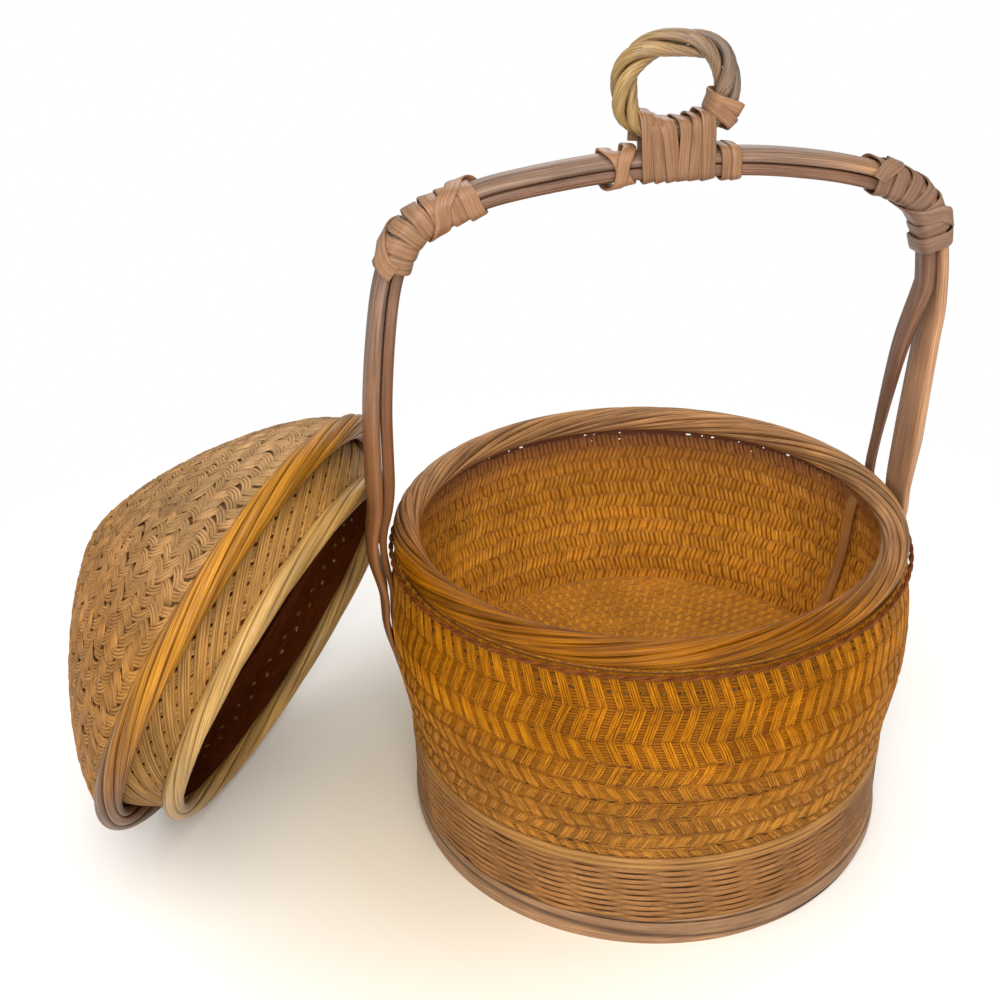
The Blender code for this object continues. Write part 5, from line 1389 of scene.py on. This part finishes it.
        # Painted shade where the strands dip at their ends.
        depth = np.broadcast_to(0.25 + 0.75 * rise[None, :] ** 0.5, arc.shape)
        self.shop.strands(self.piece("dome_twill", Cane.DOME, "lid_dome"),
                          Strands(points, normals, mm(0.72), mm(0.36), tone=tone, depth=depth), Section.ARCH)
        # Two sheets under the twill paint the shade in its gaps: a near-black one seen from inside the lid, and one
        # mostly in the dome's shadow colour seen from outside.
        for name, cane, inset, shade in (("dome_backing", Cane.DOME_SHADE, mm(1.5), 1.0),
                                         ("dome_ground", Cane.DOME, mm(1.25), 0.22)):
            under = self.dome_surface(inset)
            arcs = np.linspace(0.0, under.length, 60)
            angles = np.arange(120) * math.tau / 120
            angle, arc = np.meshgrid(angles, arcs, indexing="ij")
            points, _ = under.place(angle, arc, np.zeros_like(arc))
            self.shop.grid(self.piece(name, cane), points[None], True, False, depth=np.full((1, 120), shade))

    def collar(self) -> None:
        """Lay the collar's long slanting floats."""
        top_radius = (self.centre_radius - self.ROPE) * self.SEGMENT_SHARE - mm(0.3)
        bottom_radius = self.EDGE_RADIUS - self.EDGE_ROPE + mm(0.9)
        bottom = self.EDGE_ROPE - mm(1.0) - self.COLLAR_DEPTH
        profile = [(top_radius + (bottom_radius - top_radius) * share, bottom * share)
                   for share in np.linspace(0.0, 1.0, 20)]
        profile = [(top_radius, mm(5.0)), (top_radius, mm(2.5))] + profile
        surface = TurnedSurface(profile)
        count, strands = 40, 4
        shares = np.linspace(0.0, 1.0, 16)
        layers = []
        for layer, (lean, height) in enumerate(((-1.0, -0.35), (1.0, -0.95))):
            bundle, strand = np.meshgrid(np.arange(count), np.arange(strands), indexing="ij")
            bundle, strand = bundle.ravel(), strand.ravel()
            arc = mm(0.6) + (surface.length - mm(1.2)) * shares[None, :] + 0 * bundle[:, None]
            aside = lean * mm(45.0) * (shares[None, :] - 0.5) + (strand[:, None] - 1.5) * mm(2.55)
            aside = aside + (random(len(bundle), seed=60 + layer)[:, None] - 0.5) * mm(0.5)
            angle = (bundle + 0.5 * layer)[:, None] * math.tau / count + aside / surface.radius(arc)
            wave = -np.cos(shares * math.tau)[None, :] * mm(0.2) * (-1 if layer else 1)
            points, normals = surface.place(angle, arc, mm(height) + wave)
            layers.append((points, normals))
        points = np.concatenate([layer[0] for layer in layers])
        normals = np.concatenate([layer[1] for layer in layers])
        tone = 0.2 + 0.8 * random(len(points), seed=62)
        self.shop.strands(self.piece("collar_floats", Cane.COLLAR, "lid_collar"),
                          Strands(points, normals, mm(0.67), mm(0.30), tone=tone), Section.ARCH)
        # A near-black sheet behind the floats paints the shade in their gaps, with cells cut open in it.
        cells = 6 * count
        middles = [surface.length * (0.5 + side * 0.072) for side in (-1, 1)]
        slots = [middle + side * mm(0.8) for middle in middles for side in (-1, 1)]
        arcs = np.sort(np.concatenate([np.linspace(0.0, surface.length, 9), slots]))
        angle, arc = np.meshgrid(np.arange(cells) * math.tau / cells, arcs, indexing="ij")
        points, _ = surface.place(angle, arc, np.full_like(arc, mm(-1.65)))
        made = self.shop.grid(self.piece("collar_backing", Cane.DOME_SHADE), points[None], True, False)
        bm = bmesh.new()
        bm.from_mesh(made.data)
        bm.faces.ensure_lookup_table()
        steps = len(arcs) - 1
        holes = []
        for middle, place in zip(middles, (4, 1)):
            inside = [row for row in range(steps) if abs((arcs[row] + arcs[row + 1]) / 2 - middle) < mm(0.8)]
            holes += [bm.faces[index * steps + row] for index in range(place, cells, 6) for row in inside]
        bmesh.ops.delete(bm, geom=holes, context="FACES_ONLY")
        bm.to_mesh(made.data)
        bm.free()

    def rope(self, name: str, cane: Cane, nodes: Tuple[str, ...], radius: float, height: float, reach: float,
             strands: int, twists: int) -> None:
        """Lay broad strands round a hoop.

        Args:
            name: The piece's name.
            cane: Its kind of cane.
            nodes: The CAD nodes that it replaces.
            radius: The hoop's radius.
            height: The hoop's height in the lid's frame.
            reach: The finished roll's radius.
            strands: How many strands lie side by side.
            twists: How many times each goes round the hoop.
        """
        steps, corners = 288, 14
        half = math.pi / strands * 1.06
        turn = np.linspace(-1.0, 1.0, corners)
        crown = 1 - 0.07 * np.abs(turn) ** 2 - 0.16 * np.abs(turn) ** 8
        around = np.arange(steps)[None, :, None] * math.tau / steps
        lay = np.arange(strands)[:, None, None] * math.tau / strands + around * twists
        lay = lay + 0.10 * np.sin(around * 3) + 0.03 * np.sin(around * 5 + np.arange(strands)[:, None, None] * 2.1)
        angle = lay - turn[None, None, :] * half
        distance = reach * crown[None, None, :] * (1 + 0.0 * angle)
        out = radius + distance * np.cos(angle)
        grid = np.stack([out * np.cos(around), out * np.sin(around), height + distance * np.sin(angle)], axis=-1)
        tone = np.array([0.85, 0.3, 0.6, 0.1, 0.7, 0.4, 0.95])[:strands]
        made = self.shop.grid(self.piece(name, cane, *nodes), grid[:, :, ::-1], True, False, tone)
        # Painted shade along each strand's edges.
        edge = 1 - 0.85 * np.abs(turn) ** 10
        values = np.broadcast_to(edge[None, None, ::-1], grid.shape[:3]).astype(np.float32).ravel()
        made.data.attributes["depth"].data.foreach_set("value", values)


class Studio:
    """The camera, the lights and the pale floor."""

    CAMERA = (-113.1, -439.1, 375.5)
    FORWARD = (0.1106, 0.8778, -0.4659)
    UP = (0.0966, 0.4571, 0.8842)
    LENS, SENSOR = 46.8, 36.0
    SHADOW_CENTRE = (-40.0, 20.0)
    SHADOW_FADE = (190.0, 420.0)
    # Where the floor's painted shadow is centred, in millimetres from the axis, and the reach over which it fades.
    PAINTED_SHADOW_CENTRE = (-70.0, -10.0)
    PAINTED_SHADOW_REACH = (60.0, 165.0)

    def __init__(self, axis: Vector) -> None:
        """Keep the basket's axis, from which the camera was measured.

        Args:
            axis: Where the basket's axis stands.
        """
        self.axis = axis

    def build(self) -> None:
        """Set up the whole studio."""
        self.camera()
        self.floor()
        self.lights()
        self.world()
        bpy.context.scene.view_settings.view_transform = "Standard"
        bpy.context.scene.view_settings.look = "None"

    def camera(self) -> None:
        """Stand the camera where the photograph was taken from."""
        data = bpy.data.cameras.new("camera")
        data.lens = self.LENS
        data.sensor_width = self.SENSOR
        made = bpy.data.objects.new("camera", data)
        bpy.context.scene.collection.objects.link(made)
        forward, up = Vector(self.FORWARD).normalized(), Vector(self.UP)
        right = forward.cross(up).normalized()
        up = right.cross(forward)
        turn = Matrix((right, up, -forward)).transposed().to_4x4()
        place = Vector([mm(value) for value in self.CAMERA]) + Vector((self.axis.x, self.axis.y, 0.0))
        made.matrix_world = Matrix.Translation(place) @ turn
        bpy.context.scene.camera = made

    def floor(self) -> None:
        """Lay a wide pale floor, with a beige painted shadow round the basket's left side and the lid."""
        mesh = bpy.data.meshes.new("floor")
        made = bpy.data.objects.new("floor", mesh)
        bm = bmesh.new()
        bmesh.ops.create_grid(bm, x_segments=2, y_segments=2, size=6.0)
        bm.to_mesh(mesh)
        bm.free()
        bpy.context.scene.collection.objects.link(made)
        graph = Graph("pale_floor")
        noise = graph.add("ShaderNodeTexNoise", {"Scale": 3.0, "Detail": 2.0}).outputs[0]
        shade = graph.mix(graph.remap(noise, 0.3, 0.7, 0.0, 1.0), colour("F4F3F1"), colour("F8F7F5"))
        # Painted shadow: tint the floor beige near the basket's left side and the lid.
        near, far = self.PAINTED_SHADOW_REACH
        painted_shadow = graph.remap(self.distance(graph, self.PAINTED_SHADOW_CENTRE), mm(near), mm(far), 0.0, 1.0)
        shade = graph.mix(painted_shadow, colour("E2D8C6"), shade)
        graph.feed(graph.shader.inputs["Base Color"], shade)
        graph.feed(graph.shader.inputs["Roughness"], 0.85)
        graph.feed(graph.shader.inputs["Specular IOR Level"], 0.1)
        self.fade_out(graph)
        mesh.materials.append(graph.material)

    def distance(self, graph: Graph, centre: Tuple[float, float]) -> bpy.types.NodeSocket:
        """Give the floor's distance from a place beside the basket's axis, in millimetres from it."""
        place = graph.add("ShaderNodeTexCoord").outputs["Object"]
        centre = (self.axis.x + mm(centre[0]), self.axis.y + mm(centre[1]), 0.0)
        node = graph.add("ShaderNodeVectorMath", {0: place, 1: centre}, operation="DISTANCE")
        return node.outputs["Value"]

    def fade_out(self, graph: Graph) -> None:
        """Let the floor turn plain white for the camera away from the object, where no shadow falls.

        Args:
            graph: The floor's material.
        """
        reach = self.distance(graph, self.SHADOW_CENTRE)
        low, high = self.SHADOW_FADE
        far = graph.remap(reach, mm(low), mm(high), 0.0, 1.0)
        seen = graph.add("ShaderNodeLightPath").outputs["Is Camera Ray"]
        share = graph.add("ShaderNodeMath", {0: far, 1: seen}, operation="MULTIPLY").outputs[0]
        white = graph.add("ShaderNodeEmission", {"Color": colour("FFFFFF"), "Strength": 1.0}).outputs[0]
        blend = graph.add("ShaderNodeMixShader", {0: share, 1: graph.shader.outputs[0], 2: white}).outputs[0]
        graph.feed(graph.tree.nodes["Material Output"].inputs["Surface"], blend)

    def lights(self) -> None:
        """Hang the soft lights."""
        for name, place, size, power, tint in (
                ("key_light", (0.0, -450.0, 920.0), 850.0, 7.3, "FFF8EE"),
                ("front_light", (-150.0, -800.0, 480.0), 500.0, 5.0, "FFFFFF"),
                ("left_light", (-700.0, 100.0, 500.0), 600.0, 1.6, "FFFFFF"),
                ("back_light", (150.0, 650.0, 650.0), 600.0, 2.2, "FFFFFF")):
            data = bpy.data.lights.new(name, "AREA")
            data.size = mm(size)
            data.energy = power
            data.color = colour(tint)[:3]
            made = bpy.data.objects.new(name, data)
            bpy.context.scene.collection.objects.link(made)
            where = Vector([mm(value) for value in place]) + Vector((self.axis.x, self.axis.y, 0.0))
            aim = Vector((self.axis.x, self.axis.y, mm(100.0))) - where
            made.location = where
            made.rotation_euler = aim.to_track_quat("-Z", "Y").to_euler()

    def world(self) -> None:
        """Fill the world with white."""
        world = bpy.data.worlds.new("white_room")
        bpy.context.scene.world = world
        world.use_nodes = True
        tree = world.node_tree
        background = tree.nodes["Background"]
        background.inputs["Color"].default_value = colour("FFFFFF")
        path = tree.nodes.new("ShaderNodeLightPath")
        blend = tree.nodes.new("ShaderNodeMapRange")
        blend.inputs["To Min"].default_value = 0.45
        blend.inputs["To Max"].default_value = 1.0
        tree.links.new(path.outputs["Is Camera Ray"], blend.inputs["Value"])
        tree.links.new(blend.outputs[0], background.inputs["Strength"])


def main() -> None:
    """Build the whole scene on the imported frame."""
    logging.basicConfig(level=logging.INFO, format="%(name)s: %(message)s")
    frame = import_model()
    low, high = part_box("rim_core_hoop")
    axis = (low + high) / 2
    axis.z = 0.0
    Studio(axis).build()
    shop = Workshop(axis)
    matrix = Matrix.Translation(axis)
    body = BasketBody(shop, matrix)
    body.build()
    Handle(shop, body, matrix).build()
    Lid(shop, frame["joints"][0]).build()
    for name in KEPT_HOOPS:
        node = frame["nodes"][name]
        node.data.materials.clear()
        node.data.materials.append(shop.material(Cane.BACKING))


if __name__ == "__main__":
    main()
